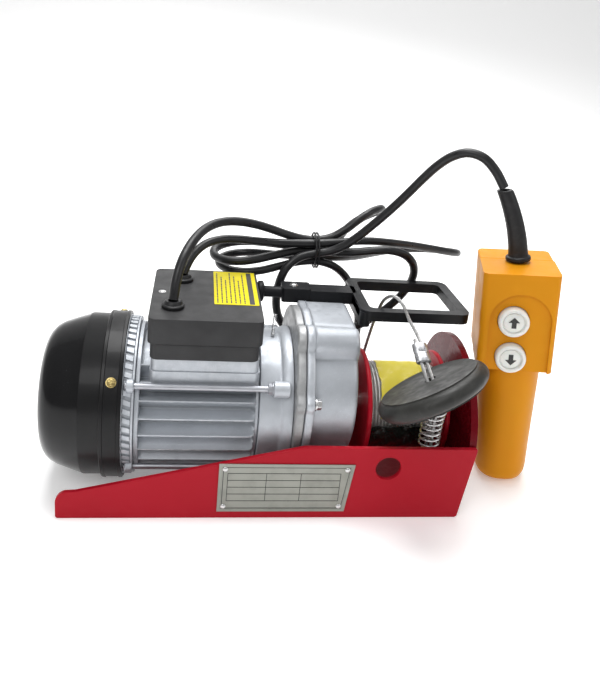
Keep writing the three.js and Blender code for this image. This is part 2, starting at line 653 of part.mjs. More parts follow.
// A helix that stands upright and leans over towards its top, as the rope inside it does.
class Helix extends THREE.Curve {
  constructor(x, y, { low, high, r, turns, lean }) {
    super();
    Object.assign(this, { x, y, low, high, r, turns, lean });
  }

  getPoint(t, target = new THREE.Vector3()) {
    const angle = 2 * Math.PI * this.turns * t;
    const height = this.low + (this.high - this.low) * t;
    const [x, y] = [this.x + this.lean[0] * t ** 4, this.y + this.lean[1] * t ** 4];
    return target.set(x + this.r * Math.cos(angle), y + this.r * Math.sin(angle), height);
  }
}

function bufferSpring() {
  const coil = new Helix(HOOK.x, HOOK.y, SPRING);
  return piece('buffer_spring', bar(coil, SPRING.wire, 4, 9 * SPRING.turns), 'dark_steel');
}

// A cast hook with a round eye for the rope, a bowl and a point.
function hook() {
  const { x, y, eye_z: eye, eye_hole: hole, thick } = HOOK;
  const [bowl_z, inner, outer] = [22, 9, 17];
  const body = outline([
    ...arc(x, eye, 8, -40, 220, 12),
    ...arc(x - 3, bowl_z, outer, 125, 360, 16),
    [x - 3 + outer - 1, bowl_z + 6], [x - 3 + outer - 6, bowl_z + 5],
    ...arc(x - 3, bowl_z, inner, 10, -215, 14), [x - 2, bowl_z + 13], [x + 1, bowl_z + 17],
  ], [circle(x, eye, hole, 12)]);
  const slab = alongY(body, y - thick / 2, y + thick / 2);
  const side = (y0, y1) => block([x - 9, x + 9], [y0, y1], [eye - 8.5, eye + 9]);
  const thin = HOOK.eye_thick / 2;
  return piece('hook', cut(slab, side(y - thick, y - thin), side(y + thin, y + thick)), 'steel');
}

// The sprung gate across the hook's mouth, hinged below the eye.
function hookLatch() {
  const { x, y } = HOOK;
  const plate = outline([[x + 5.8, 44], [x + 8.8, 44], [x + 12, 29.2], [x + 9, 28.4]]);
  return piece('hook_latch', alongY(plate, y - 3, y + 3), 'steel');
}

// ---------------------------------------------------------------- pendant

function pendantHalf(y0, y1) {
  const { width, height, grip_width: grip, shoulder, wall } = PENDANT;
  const profile = (inset) => outline([
    ...arc(width / 2 - 8, height - 8, 8 - inset / 2, 0, 90, 3).map(([u, v]) => [u - inset, v - inset]),
    ...arc(-width / 2 + 8, height - 8, 8 - inset / 2, 90, 180, 3).map(([u, v]) => [u + inset, v - inset]),
    [-width / 2 + inset, shoulder], [-grip / 2 + inset, shoulder - 16],
    ...arc(-grip / 2 + 12, 12, 12 - inset, 180, 270, 3), ...arc(grip / 2 - 12, 12, 12 - inset, 270, 360, 3),
    [grip / 2 - inset, shoulder - 16], [width / 2 - inset, shoulder],
  ]);
  const outer = alongY(profile(0), y0, y1);
  const front = y0 < -10;
  const inner = alongY(profile(wall), front ? y0 + wall : y0 - 1, front ? y1 + 1 : y1 - wall);
  return { outer, inner };
}

function pendantFront() {
  const { depth, seam, height } = PENDANT;
  const { outer, inner } = pendantHalf(-depth / 2, seam - LEDGE);
  const hole = (z) => rod([BUTTON.x, -depth, z], [BUTTON.x, 0, z], BUTTON.r + GAP, 20);
  const holes = [hole(BUTTON.up_z), hole(BUTTON.down_z)];
  const gland = rod([0, 0, height - 10], [0, 0, height + 10], 7, 16);
  return piece('pendant_front', cut(outer, inner, gland, ...holes), 'orange');
}

function pendantBack() {
  const { depth, seam, height } = PENDANT;
  const { outer, inner } = pendantHalf(seam + LEDGE, depth / 2);
  const gland = rod([0, 0, height - 10], [0, 0, height + 10], 7, 16);
  return piece('pendant_back', cut(outer, inner, gland), 'orange');
}

function pendantButton(name, z) {
  const face = -PENDANT.depth / 2;
  const cap = rod([BUTTON.x, face - BUTTON.rise, z], [BUTTON.x, face + 8, z], BUTTON.r, 20);
  return piece(name, cap, 'white');
}

function switchBlock() {
  return piece('pendant_switch_block', block([-26, 18], [-26, 2], [122, 184]), 'black');
}

// The boot bends over with the cable's pull, more and more towards its tip.
function pendantBoot() {
  const profile = [
    [-4, 3], [-4, 5.8], [LEDGE, 5.8], [LEDGE, 10.6], [3.5, 10.6], [5, 8.2], [BOOT.top / 2, 7.7],
    [BOOT.top, 7], [BOOT.top, 3], [BOOT.top / 2, 3], [-4, 3],
  ];
  const shape = new THREE.LatheGeometry(profile.map(([h, r]) => new THREE.Vector2(r, h)), 14);
  shape.rotateX(Math.PI / 2);
  const { position } = shape.attributes;
  for (let i = 0; i < position.count; i += 1) {
    const height = Math.max(position.getZ(i), 0);
    position.setX(i, position.getX(i) - BOOT.bend * (height / BOOT.top) ** 2);
  }
  const boot = piece('pendant_boot', solid(shape), 'rubber');
  boot.position.set(0, 0, PENDANT.height + BOOT.lift);
  boot.rotation.y = deg(BOOT.lean);
  return boot;
}

function pendant() {
  const group = new THREE.Group();
  group.position.set(...PENDANT.place);
  group.rotation.set(0, deg(PENDANT.lean), deg(PENDANT.yaw), 'ZYX');
  group.add(
    pendantFront(), pendantBack(), switchBlock(), pendantBoot(),
    pendantButton('up_button', BUTTON.up_z), pendantButton('down_button', BUTTON.down_z),
  );
  return group;
}

// ---------------------------------------------------------------- cables

// The places where a strand of cable runs through the tie: at an angle round its middle, or in the middle.
function strand(angle, way = 1) {
  const reach = angle === MIDDLE_STRAND ? 0 : TIE.pitch;
  const y = TIE.y + reach * Math.cos(deg(angle));
  const z = TIE.z + reach * Math.sin(deg(angle));
  return [-TIE.straight, 0, TIE.straight].map((along) => [TIE.x + way * along, y, z]);
}

// From the box's front grommet through the tie, round two loops and down behind the gearbox, then
// back through the tie and over to the pendant's boot.
const PENDANT_ROUTE = [
  [-172, -30, 171.4], [-172.5, -29.5, 183], [-169, -22, 198], [-161, -3, 209], [-149, 26, 216],
  [-130, 48, 216.5], [-104, 66, 209], [-82, 76, 201], ...strand(60), [-16, 84, 203], [-3, 86, 216],
  [11, 93, 223], [25, 108, 221], [28, 128, 212], [13, 140, 203], [-6, 129, 194], [-17, 107, 187],
  ...strand(0, -1), [-80, 92, 182.5], [-98, 108, 179.5], [-117, 118, 176], [-137, 111, 172.5],
  [-144, 92, 170.5], [-136, 73, 169.5], [-115, 65.5, 171], [-86, 71, 177.5], ...strand(MIDDLE_STRAND),
  [-12, 71, 182], [8, 65, 191], [30, 64, 193], [48, 68, 185], [57, 76, 167], [52, 85, 143],
  [32, 89, 118], [6, 88, 100], [-24, 87, 90], [-52, 82, 91], [-72, 74, 106], [-80, 66, 128],
  [-80, 62, 150], [-76, 61, 170], ...strand(180), [-18, 63, 194], [0, 58, 214], [18, 53, 235],
  [32, 46, 256], [42, 38, 274], [53, 29, 290], [66, 21, 299.5], [79, 14.5, 297.5], [87, 11, 288.5],
  [92.6, 8.8, 278.8], [97.9, 7.3, 269.8],
];

// From the back grommet through the tie, round two loops, and down behind the hoist to the plug.
const MAINS_ROUTE = [
  [-166, 30, 171.4], [-165.5, 31, 181], [-160, 38, 191], [-148, 50, 196.5], [-124, 64, 196],
  [-94, 69, 190], ...strand(120), [-12, 74, 197], [18, 80, 194], [54, 94, 188], [90, 106, 180],
  [112, 115, 175], [121, 135, 169], [113, 156, 165], [92, 165, 163], [62, 159, 163], [28, 135, 165],
  [-2, 106, 168.5], ...strand(300, -1), [-77, 91, 171.5], [-92, 110, 167], [-110, 124, 163.5],
  [-131, 117, 161.5], [-139, 96, 160.5], [-130, 74, 160], [-108, 66.5, 160], [-82, 73, 164],
  ...strand(240), [-18, 79, 165], [-3, 88, 146], [8, 97, 122], [13, 102, 95], [10, 102, 66],
  [0, 100, 40], [-18, 99, 19], [-44, 99, 7], [-84, 99, 4], [-134.5, 99, 4],
];

function cable(name, points, r, steps) {
  return piece(name, bar(centreLine(points, steps), r, 8, steps), 'cable');
}

function mainsPlug() {
  const [x, y, z] = MAINS_ROUTE[MAINS_ROUTE.length - 1];
  const neck = turned([[x - 0.3, 0], [x - 0.3, 4], [x - 22, 6.5], [x - 22, 0]], y, 8, 14);
  const body = alongX(outline(roundedBox(y - 15, y + 15, 0, 24, 6)), x - 52, x - 20);
  const pins = [-6.4, 6.4].map((side) => rodX(x - 72, x - 50, 2.2, y + side, 12, 10));
  return piece('mains_plug', joined(neck, body, ...pins), 'black');
}

// The wire tie round the seven strands of the bundle.
function cableTie() {
  return piece('cable_tie', ringX(TIE.x - 3, TIE.x + 3, 15.6, 16.8, TIE.y, TIE.z, 18), 'black');
}

// ---------------------------------------------------------------- the whole hoist

const hoist = new THREE.Group();
hoist.name = 'wire_rope_hoist';
hoist.add(
  sidePlate('front_side_plate', FRONT), sidePlate('back_side_plate', BACK - SHEET), mountingWeb(),
  drumEndPlate(), nameplate(), fanCover(), coverScrew('cover_screw_front', 145),
  coverScrew('cover_screw_back', 55), coolingFan(), rearEndShield(), motorHousing(), statorCore(),
  statorWindings(), rotorCore(), rotorShaft(), bearing('rear_bearing', -209.5, MOTOR_Z),
  bearing('front_bearing', -82, MOTOR_Z), frontEndShield(),
  tieRod('tie_rod_front_top', 180 - ROD.angle), tieRod('tie_rod_front_low', 180 + ROD.angle),
  tieRod('tie_rod_back_top', ROD.angle), tieRod('tie_rod_back_low', -ROD.angle),
  gearboxCover(), gearboxHousing(), intermediateGear(), intermediatePinion(), outputGear(),
  gearboxBolt('gearbox_bolt_front', 168), gearboxBolt('gearbox_bolt_back', 12),
  gearboxBolt('gearbox_bolt_low', 270), drumShaft(), bearing('output_bearing', -30, DRUM_Z),
  bearing('drum_end_bearing', 74, DRUM_Z), drum(), ropeWinding(), ropeLabel(), terminalBoxBase(),
  terminalBoxLid(), grommet('front_grommet', FRONT_GROMMET), grommet('back_grommet', BACK_GROMMET),
  capacitor(), limitSwitch(), limitLever(), leverSpring(), ropeLead(), ferrule(), stopDisc(),
  bufferSpring(), hook(), hookLatch(), pendant(),
  cable('pendant_cable', PENDANT_ROUTE, PENDANT_CABLE_R, PENDANT_STEPS),
  cable('mains_lead', MAINS_ROUTE, MAINS_R, MAINS_STEPS), mainsPlug(), cableTie(),
);

export default hoist;
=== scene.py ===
from math import cos, degrees, pi, radians, sin, sqrt

import bmesh
import bpy
import numpy as np
from mathutils import Matrix, Vector, geometry


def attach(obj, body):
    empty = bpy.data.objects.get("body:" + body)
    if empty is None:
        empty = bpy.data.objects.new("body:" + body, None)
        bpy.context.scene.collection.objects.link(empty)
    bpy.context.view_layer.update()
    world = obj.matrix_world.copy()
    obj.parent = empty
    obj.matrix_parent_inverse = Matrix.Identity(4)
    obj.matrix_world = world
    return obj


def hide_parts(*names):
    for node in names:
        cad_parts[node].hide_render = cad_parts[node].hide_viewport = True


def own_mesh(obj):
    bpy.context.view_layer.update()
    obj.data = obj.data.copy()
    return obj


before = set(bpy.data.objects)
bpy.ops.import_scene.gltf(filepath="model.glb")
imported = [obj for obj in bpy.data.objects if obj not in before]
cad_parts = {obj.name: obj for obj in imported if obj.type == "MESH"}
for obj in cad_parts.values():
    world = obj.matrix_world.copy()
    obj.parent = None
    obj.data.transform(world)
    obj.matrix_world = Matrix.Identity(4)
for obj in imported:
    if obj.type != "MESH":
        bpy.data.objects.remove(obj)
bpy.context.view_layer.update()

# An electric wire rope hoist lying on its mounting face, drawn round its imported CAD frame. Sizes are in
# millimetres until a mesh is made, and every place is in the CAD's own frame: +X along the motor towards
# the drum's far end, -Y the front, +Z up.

scene = bpy.context.scene
MM = 0.001

# ---------------------------------------------------------------- driving dimensions, as in the CAD

FRONT, BACK, SHEET, PLATE_TOP = -75, 83, 4, 67
MIDDLE = (FRONT + BACK) / 2
MOTOR_Z, DRUM_Z, BOX_Z = 71.5, 67, 86
TIE = {"x": -45, "y": 78, "z": 183, "pitch": 9, "straight": 18}
PENDANT = {"place": (139, -4.5, 2.4), "yaw": -16, "lean": -5.5, "height": 206}
BOOT = {"top": 62, "lift": 1.4, "lean": -4, "bend": 12}
DISC = {"x": 34.5, "y": -74, "z": 120.5, "r": 46.5, "t": 17, "hole": 13}
DISC_NORMAL = Vector((-0.46, 0.33, 0.83)).normalized()
HOOK_X, HOOK_Y = 44, -60
WINDING_R = 37
PENDANT_CABLE_R, MAINS_R, ROPE_R = 4, 3.8, 1.5

# ---------------------------------------------------------------- camera


def make_camera():
    yaw, pitch, roll = radians(8.9), radians(-19.1), radians(5.7)
    forward = Vector((sin(yaw) * cos(pitch), cos(yaw) * cos(pitch), sin(pitch)))
    right = Vector((cos(yaw), -sin(yaw), 0))
    up = right.cross(forward)
    side = right * cos(roll) + up * sin(roll)
    top = up * cos(roll) - right * sin(roll)
    camera = bpy.data.objects.new("camera", bpy.data.cameras.new("camera"))
    camera.matrix_world = Matrix((
        (side.x, top.x, -forward.x, -0.1586),
        (side.y, top.y, -forward.y, -0.5663),
        (side.z, top.z, -forward.z, 0.3926),
        (0, 0, 0, 1),
    ))
    camera.data.lens = 37.5
    camera.data.sensor_width = 36
    camera.data.shift_y = -0.12
    camera.data.clip_start = 0.01
    scene.collection.objects.link(camera)
    scene.camera = camera


make_camera()

# ---------------------------------------------------------------- geometry: (vertices, faces) in mm


def both(*parts):
    """Several shells as one."""
    vertices, faces = [], []
    for some_vertices, some_faces in parts:
        start = len(vertices)
        vertices += some_vertices
        faces += [tuple(start + index for index in face) for face in some_faces]
    return vertices, faces


def moved(shape, matrix):
    vertices, faces = shape
    return [tuple(matrix @ Vector(vertex)) for vertex in vertices], faces


def skin(rings, caps=True, around=True):
    """Quads between rings of equally many points, with a face over each end."""
    count = len(rings[0])
    vertices = [tuple(point) for ring in rings for point in ring]
    faces = []
    for i in range(len(rings) - 1):
        for j in range(count if around else count - 1):
            k = (j + 1) % count
            faces.append((i * count + j, i * count + k, (i + 1) * count + k, (i + 1) * count + j))
    if caps:
        faces.append(tuple(range(count))[::-1])
        faces.append(tuple((len(rings) - 1) * count + j for j in range(count)))
    return vertices, faces


def along(axis, origin=(0, 0, 0)):
    """The matrix that carries +Z at zero to an axis at an origin."""
    turn = Vector(axis).to_track_quat("Z", "Y").to_matrix().to_4x4()
    return Matrix.Translation(Vector(origin)) @ turn


def lathe(profile, axis=(1, 0, 0), origin=(0, 0, 0), segments=96):
    """(height, radius) pairs turned about an axis. The profile starts and ends on the axis, or is a loop."""
    closed = profile[0] == profile[-1]
    outline = profile[:-1] if closed else profile
    rings = []
    for step in range(segments):
        angle = 2 * pi * step / segments
        rings.append([(r * cos(angle), r * sin(angle), h) for h, r in outline])
    shape = skin(rings + [rings[0]], caps=False, around=closed)
    return moved(shape, along(axis, origin))


def motor_lathe(profile, segments=128):
    return lathe(profile, (1, 0, 0), (0, 0, MOTOR_Z), segments)


def drum_lathe(profile, segments=96):
    return lathe(profile, (1, 0, 0), (0, 0, DRUM_Z), segments)


def prism(loops, axis, low, high):
    """An outline, with any holes after it, carried from low to high along x, y or z."""
    place = {
        "x": lambda u, v, w: (w, u, v), "y": lambda u, v, w: (u, w, v), "z": lambda u, v, w: (u, v, w),
    }[axis]
    triangles = geometry.tessellate_polygon([[Vector((u, v, 0)) for u, v in loop] for loop in loops])
    flat = [point for loop in loops for point in loop]
    count = len(flat)
    vertices = [place(u, v, low) for u, v in flat] + [place(u, v, high) for u, v in flat]
    faces = [tuple(t) for t in triangles] + [tuple(count + i for i in t[::-1]) for t in triangles]
    start = 0
    for loop in loops:
        size = len(loop)
        for i in range(size):
            a, b = start + i, start + (i + 1) % size
            faces.append((a, b, count + b, count + a))
        start += size
    return vertices, faces


def block(x, y, z):
    return prism([[(x[0], y[0]), (x[1], y[0]), (x[1], y[1]), (x[0], y[1])]], "z", z[0], z[1])


def arc(u, v, r, start, end, steps=12):
    angles = [radians(start + (end - start) * i / steps) for i in range(steps + 1)]
    return [(u + r * cos(angle), v + r * sin(angle)) for angle in angles]


def circle(u, v, r, steps=64):
    return arc(u, v, r, 0, 360, steps)[:-1]


def rounded_box(u0, u1, v0, v1, r, steps=6):
    return (
        arc(u0 + r, v0 + r, r, 180, 270, steps) + arc(u1 - r, v0 + r, r, 270, 360, steps)
        + arc(u1 - r, v1 - r, r, 0, 90, steps) + arc(u0 + r, v1 - r, r, 90, 180, steps)
    )


def frames(points):
    """A steady (across, up) pair at each point of a path."""
    points = [Vector(p) for p in points]
    count = len(points)
    tangents = [(points[min(i + 1, count - 1)] - points[max(i - 1, 0)]).normalized() for i in range(count)]
    across = tangents[0].orthogonal().normalized()
    pairs = []
    for tangent in tangents:
        across = (across - tangent * across.dot(tangent)).normalized()
        pairs.append((across, tangent.cross(across)))
    return points, pairs


def tube(points, radius, sides=12, turn=0.0):
    """A round tube. radius is a number, or one (across, up) pair of radii for each point."""
    points, pairs = frames(points)
    rings = []
    for i, (point, (across, up)) in enumerate(zip(points, pairs)):
        ra, rb = (radius, radius) if isinstance(radius, (int, float)) else radius[i]
        angles = [2 * pi * j / sides + turn * i for j in range(sides)]
        rings.append([point + across * ra * cos(a) + up * rb * sin(a) for a in angles])
    return skin(rings)


def helix(centre, axis, r, low, high, turns, steps=24, start=0.0):
    count = int(steps * turns) + 1
    places = []
    for i in range(count):
        t = i / (count - 1)
        angle = 2 * pi * turns * t + start
        places.append((r * cos(angle), r * sin(angle), low + (high - low) * t))
    return [tuple(along(axis, centre) @ Vector(p)) for p in places]


def hexagon(x0, x1, r, y, z):
    return prism([[(y + r * cos(radians(60 * i)), z + r * sin(radians(60 * i))) for i in range(6)]], "x",
                 x0, x1)


def around_motor(angle, r):
    return r * cos(radians(angle)), MOTOR_Z + r * sin(radians(angle))


# ---------------------------------------------------------------- pieces


def piece(name, shape, material, body="root", replaces=(), slot=None, bevel=0.0, segments=2, sharp=34,
          cutters=()):
    """A mesh object in metres, with smooth faces and sharp edges, that rides on a body."""
    vertices, faces = shape
    mesh = bpy.data.meshes.new(name)
    mesh.from_pydata([tuple(c * MM for c in vertex) for vertex in vertices], [], faces)
    bm = bmesh.new()
    bm.from_mesh(mesh)
    bmesh.ops.remove_doubles(bm, verts=bm.verts, dist=2e-6)
    if bevel:
        bmesh.ops.dissolve_limit(bm, angle_limit=radians(0.3), verts=bm.verts, edges=bm.edges)
    bmesh.ops.recalc_face_normals(bm, faces=bm.faces)
    for face in bm.faces:
        face.smooth = True
    for edge in bm.edges:
        edge.smooth = len(edge.link_faces) == 2 and edge.calc_face_angle(0) < radians(sharp)
    bm.to_mesh(mesh)
    bm.free()
    obj = bpy.data.objects.new(name, mesh)
    scene.collection.objects.link(obj)
    for cutter in cutters:
        cut(obj, cutter)
    if bevel:
        modifier = obj.modifiers.new("bevel", "BEVEL")
        modifier.width = bevel * MM
        modifier.segments = segments
        modifier.limit_method = "ANGLE"
        modifier.angle_limit = radians(sharp)
        modifier.harden_normals = True
    obj.data.materials.clear()
    obj.data.materials.append(material)
    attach(obj, body)
    if replaces:
        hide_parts(*([replaces] if isinstance(replaces, str) else replaces))
    return obj


def stand_in(name, shape, material, slot, body="root", **more):
    """A piece that takes the place of the CAD node of the same name."""
    return piece(name, shape, material, body, name, slot, **more)


def cut(obj, shape):
    """Takes a shell out of a piece, for good."""
    vertices, faces = shape
    mesh = bpy.data.meshes.new("cutter")
    mesh.from_pydata([tuple(c * MM for c in vertex) for vertex in vertices], [], faces)
    bm = bmesh.new()
    bm.from_mesh(mesh)
    bmesh.ops.recalc_face_normals(bm, faces=bm.faces)
    bm.to_mesh(mesh)
    bm.free()
    cutter = bpy.data.objects.new("cutter", mesh)
    scene.collection.objects.link(cutter)
    modifier = obj.modifiers.new("cut", "BOOLEAN")
    modifier.operation = "DIFFERENCE"
    modifier.solver = "EXACT"
    modifier.object = cutter
    graph = bpy.context.evaluated_depsgraph_get()
    result = bpy.data.meshes.new_from_object(obj.evaluated_get(graph))
    obj.modifiers.remove(modifier)
    obj.data = result
    bpy.data.objects.remove(cutter)


# ---------------------------------------------------------------- materials


class Surface:
    """A Principled material with helpers for its procedural detail, placed by object coordinates."""

    def __init__(self, name, colour, roughness, metallic=0.0, **settings):
        self.material = bpy.data.materials.new(name)
        self.material.use_nodes = True
        self.nodes = self.material.node_tree.nodes
        self.links = self.material.node_tree.links
        self.bsdf = self.nodes["Principled BSDF"]
        self.place = self.nodes.new("ShaderNodeTexCoord").outputs["Object"]
        self.normal = None
        self.bsdf.inputs["Base Color"].default_value = (*colour, 1)
        self.bsdf.inputs["Roughness"].default_value = roughness
        self.bsdf.inputs["Metallic"].default_value = metallic
        for socket, value in settings.items():
            self.bsdf.inputs[socket.replace("_", " ").title().replace("Ior", "IOR")].default_value = value
        self.colour = colour
        self.roughness = roughness

    def stretched(self, scale):
        mapping = self.nodes.new("ShaderNodeMapping")
        mapping.inputs["Scale"].default_value = scale
        self.links.new(self.place, mapping.inputs["Vector"])
        return mapping.outputs["Vector"]

    def noise(self, size, detail=3.0, stretch=None, distortion=0.0):
        """A noise whose blotches are about size millimetres across."""
        node = self.nodes.new("ShaderNodeTexNoise")
        node.inputs["Scale"].default_value = 1000.0 / size
        node.inputs["Detail"].default_value = detail
        node.inputs["Distortion"].default_value = distortion
        self.links.new(self.stretched(stretch) if stretch else self.place, node.inputs["Vector"])
        return node.outputs["Fac"]

    def ramp(self, value, low, high, bottom=0.0, top=1.0):
        node = self.nodes.new("ShaderNodeMapRange")
        node.inputs["From Min"].default_value = low
        node.inputs["From Max"].default_value = high
        node.inputs["To Min"].default_value = bottom
        node.inputs["To Max"].default_value = top
        self.links.new(value, node.inputs["Value"])
        return node.outputs["Result"]

    def tint(self, colour, mask):
        """Lays a colour over what is there already, where the mask is 1."""
        socket = self.bsdf.inputs["Base Color"]
        mix = self.nodes.new("ShaderNodeMix")
        mix.data_type = "RGBA"
        if socket.is_linked:
            self.links.new(socket.links[0].from_socket, mix.inputs["A"])
        else:
            mix.inputs["A"].default_value = (*self.colour, 1)
        mix.inputs["B"].default_value = (*colour, 1)
        self.links.new(mask, mix.inputs["Factor"])
        self.links.new(mix.outputs["Result"], socket)
        return self

    def rough(self, value, low, high, bottom, top):
        self.links.new(self.ramp(value, low, high, bottom, top), self.bsdf.inputs["Roughness"])
        return self

    def bump(self, height, depth, strength=1.0):
        """Adds relief of about depth millimetres."""
        node = self.nodes.new("ShaderNodeBump")
        node.inputs["Distance"].default_value = depth * MM
        node.inputs["Strength"].default_value = strength
        self.links.new(height, node.inputs["Height"])
        if self.normal is not None:
            self.links.new(self.normal, node.inputs["Normal"])
        self.normal = node.outputs["Normal"]
        self.links.new(self.normal, self.bsdf.inputs["Normal"])
        return self

    def blotches(self, colour, amount, low, high, *noise, **more):
        """Patches of another colour where a noise is high."""
        return self.tint(colour, self.ramp(self.noise(*noise, **more), low, high, 0.0, amount))

    def shine(self, bottom, top, low, high, *noise):
        """A roughness that wanders between two values."""
        return self.rough(self.noise(*noise), low, high, bottom, top)

    def grain(self, depth, strength, *noise, **more):
        """A noise as relief of about depth millimetres."""
        return self.bump(self.noise(*noise, **more), depth, strength)

    def painted_cavity_shade(self, colour, amount=0.6):
        """Painted shade: a darker colour in inner corners, where shadow gathers."""
        point = self.nodes.new("ShaderNodeNewGeometry").outputs["Pointiness"]
        return self.tint(colour, self.ramp(point, 0.44, 0.49, amount, 0.0))

    def edges(self, colour, amount=0.5):
        """A lighter colour along outer edges, in noisy patches: partly wear, partly painted highlight."""
        point = self.nodes.new("ShaderNodeNewGeometry").outputs["Pointiness"]
        worn_and_lit = self.nodes.new("ShaderNodeMath")
        worn_and_lit.operation = "MULTIPLY"
        self.links.new(self.ramp(point, 0.53, 0.62), worn_and_lit.inputs[0])
        self.links.new(self.ramp(self.noise(6, 4), 0.45, 0.62, 0.0, amount), worn_and_lit.inputs[1])
        return self.tint(colour, worn_and_lit.outputs[0])


def red_paint():
    s = Surface("red_enamel", (0.37, 0.005, 0.016), 0.4, specular_ior_level=0.13)
    s.blotches((0.33, 0.004, 0.012), 0.5, 0.42, 0.7, 70, 3)
    s.blotches((0.47, 0.014, 0.03), 0.2, 0.66, 0.76, 1.2, 2)
    s.shine(0.32, 0.46, 0.35, 0.7, 24, 4)
    s.grain(0.03, 0.3, 2.2, 2).grain(0.3, 0.2, 38, 2)
    # Painted highlight and wear: a lighter red along the outer edges.
    s.edges((0.52, 0.06, 0.07), 0.4)
    return s.material


# A darker copy of the red enamel: painted shade for red parts that stand in shadow.
def shaded_red_paint():
    s = Surface("shaded_red_enamel", (0.14, 0.003, 0.008), 0.26, specular_ior_level=0.1)
    s.blotches((0.10, 0.002, 0.005), 0.6, 0.45, 0.75, 40, 3)
    s.shine(0.2, 0.34, 0.35, 0.7, 12, 3)
    s.grain(0.03, 0.3, 2.4, 2)
    return s.material


def cast_metal(name="cast_silver", colour=(0.44, 0.465, 0.50), grain=0.7):
    s = Surface(name, colour, 0.42, 0.5, specular_ior_level=0.5)
    s.blotches(tuple(c * 0.74 for c in colour), 0.5, 0.42, 0.72, 26, 5)
    s.blotches(tuple(min(1, c * 1.22) for c in colour), 0.5, 0.6, 0.72, 0.9, 2)
    s.shine(0.36, 0.56, 0.3, 0.7, 5, 4)
    s.grain(0.09, 0.45, grain, 3).grain(0.25, 0.3, 9, 3)
    # Painted shade in inner corners; a paler colour along outer edges, partly wear and partly painted
    # highlight.
    s.painted_cavity_shade(tuple(c * 0.18 for c in colour), 0.75)
    s.edges((0.85, 0.86, 0.87), 0.5)
    return s.material


def plastic(name, colour, roughness, grain=0.35, depth=0.03, coat=0.0, lift=1.9):
    s = Surface(name, colour, roughness, coat_weight=coat, coat_roughness=0.1, specular_ior_level=0.2)
    s.blotches(tuple(min(1, c * lift + 0.004) for c in colour), 0.5, 0.45, 0.8, 35, 5)
    s.blotches(tuple(min(1, c * 2.6 + 0.01) for c in colour), 0.35, 0.7, 0.78, 0.5, 2)
    s.shine(roughness * 0.82, min(1, roughness * 1.25), 0.3, 0.75, 14, 5)
    s.grain(depth, 0.5, grain, 2).grain(0.3, 0.2, 48, 2)
    return s.material


def orange_plastic():
    s = Surface("pendant_orange", (0.62, 0.245, 0.006), 0.44, specular_ior_level=0.1,
                subsurface_weight=0.08, subsurface_scale=0.002)
    s.blotches((0.58, 0.20, 0.005), 0.5, 0.45, 0.8, 60, 3)
    s.blotches((0.72, 0.31, 0.012), 0.3, 0.6, 0.85, 22, 3)
    s.shine(0.38, 0.52, 0.3, 0.75, 12, 5)
    s.grain(0.015, 0.35, 0.8, 2).grain(0.22, 0.2, 34, 2)
    return s.material


def rubber(name, colour, roughness=0.55, swirl=0.0):
    s = Surface(name, colour, roughness, specular_ior_level=0.3)
    s.blotches(tuple(c * 2.2 for c in colour), 0.55, 0.5, 0.78, 12, 6, distortion=1.5)
    s.blotches((0.10, 0.095, 0.09), 0.2 + swirl, 0.68, 0.8, 3.5, 5)
    s.shine(roughness * 0.8, min(1, roughness * 1.3), 0.3, 0.75, 7, 5)
    s.grain(0.05, 0.5, 0.7, 3).grain(0.25, 0.3, 16, 4)
    return s.material


def cable_jacket():
    s = Surface("cable_jacket", (0.008, 0.008, 0.009), 0.32, specular_ior_level=0.4)
    s.blotches((0.022, 0.022, 0.023), 0.6, 0.5, 0.8, 18, 4)
    s.shine(0.26, 0.5, 0.3, 0.75, 6, 5)
    s.grain(0.02, 0.4, 0.6, 2).grain(0.12, 0.3, 9, 2)
    return s.material


def steel(name, colour=(0.62, 0.63, 0.64), roughness=0.3, stretch=(0.15, 1, 1), dirt=0.2):
    s = Surface(name, colour, roughness, 0.95)
    s.blotches(tuple(c * 0.55 for c in colour), dirt, 0.48, 0.78, 8, 5)
    s.shine(roughness * 0.75, min(1, roughness * 1.5), 0.3, 0.7, 1.2, 3, stretch)
    s.grain(0.015, 0.5, 0.5, 2, stretch)
    return s.material


def rope_strands():
    s = Surface("galvanised_strand", (0.42, 0.42, 0.42), 0.36, 0.85)
    s.blotches((0.14, 0.13, 0.12), 0.6, 0.5, 0.72, 2.5, 5)
    s.shine(0.28, 0.5, 0.3, 0.7, 1.5, 3)
    s.grain(0.03, 0.6, 0.22, 2)
    return s.material


def brass():
    s = Surface("brass_plate", (0.52, 0.42, 0.18), 0.3, 0.9)
    s.blotches((0.30, 0.19, 0.05), 0.7, 0.45, 0.7, 2.2, 5)
    s.shine(0.2, 0.45, 0.3, 0.7, 1.6, 3)
    s.grain(0.02, 0.5, 0.5, 2)
    return s.material


def copper():
    s = Surface("winding_copper", (0.48, 0.19, 0.07), 0.35, 0.85)
    s.blotches((0.22, 0.08, 0.03), 0.7, 0.45, 0.7, 4, 4, (6, 1, 1))
    s.grain(0.2, 0.7, 0.8, 2, (6, 1, 1))
    return s.material


def white_plastic():
    s = Surface("button_white", (0.74, 0.74, 0.70), 0.32, coat_weight=0.2, coat_roughness=0.15,
                subsurface_weight=0.1, subsurface_scale=0.002)
    s.blotches((0.60, 0.60, 0.56), 0.5, 0.5, 0.8, 7, 5)
    s.shine(0.26, 0.44, 0.3, 0.75, 4, 4)
    s.grain(0.015, 0.4, 0.6, 2)
    return s.material


def label_paper(name="label_yellow", colour=(0.68, 0.57, 0.004)):
    s = Surface(name, colour, 0.5, specular_ior_level=0.15)
    s.blotches(tuple(c * 0.8 for c in colour), 0.5, 0.48, 0.75, 6, 5)
    s.shine(0.4, 0.62, 0.3, 0.75, 3, 4)
    s.grain(0.01, 0.4, 0.3, 2).grain(0.15, 0.3, 12, 3)
    return s.material


def print_ink():
    s = Surface("label_ink", (0.02, 0.02, 0.02), 0.55)
    s.blotches((0.06, 0.06, 0.05), 0.7, 0.5, 0.75, 1.5, 5)
    s.grain(0.01, 0.4, 0.3, 2)
    return s.material


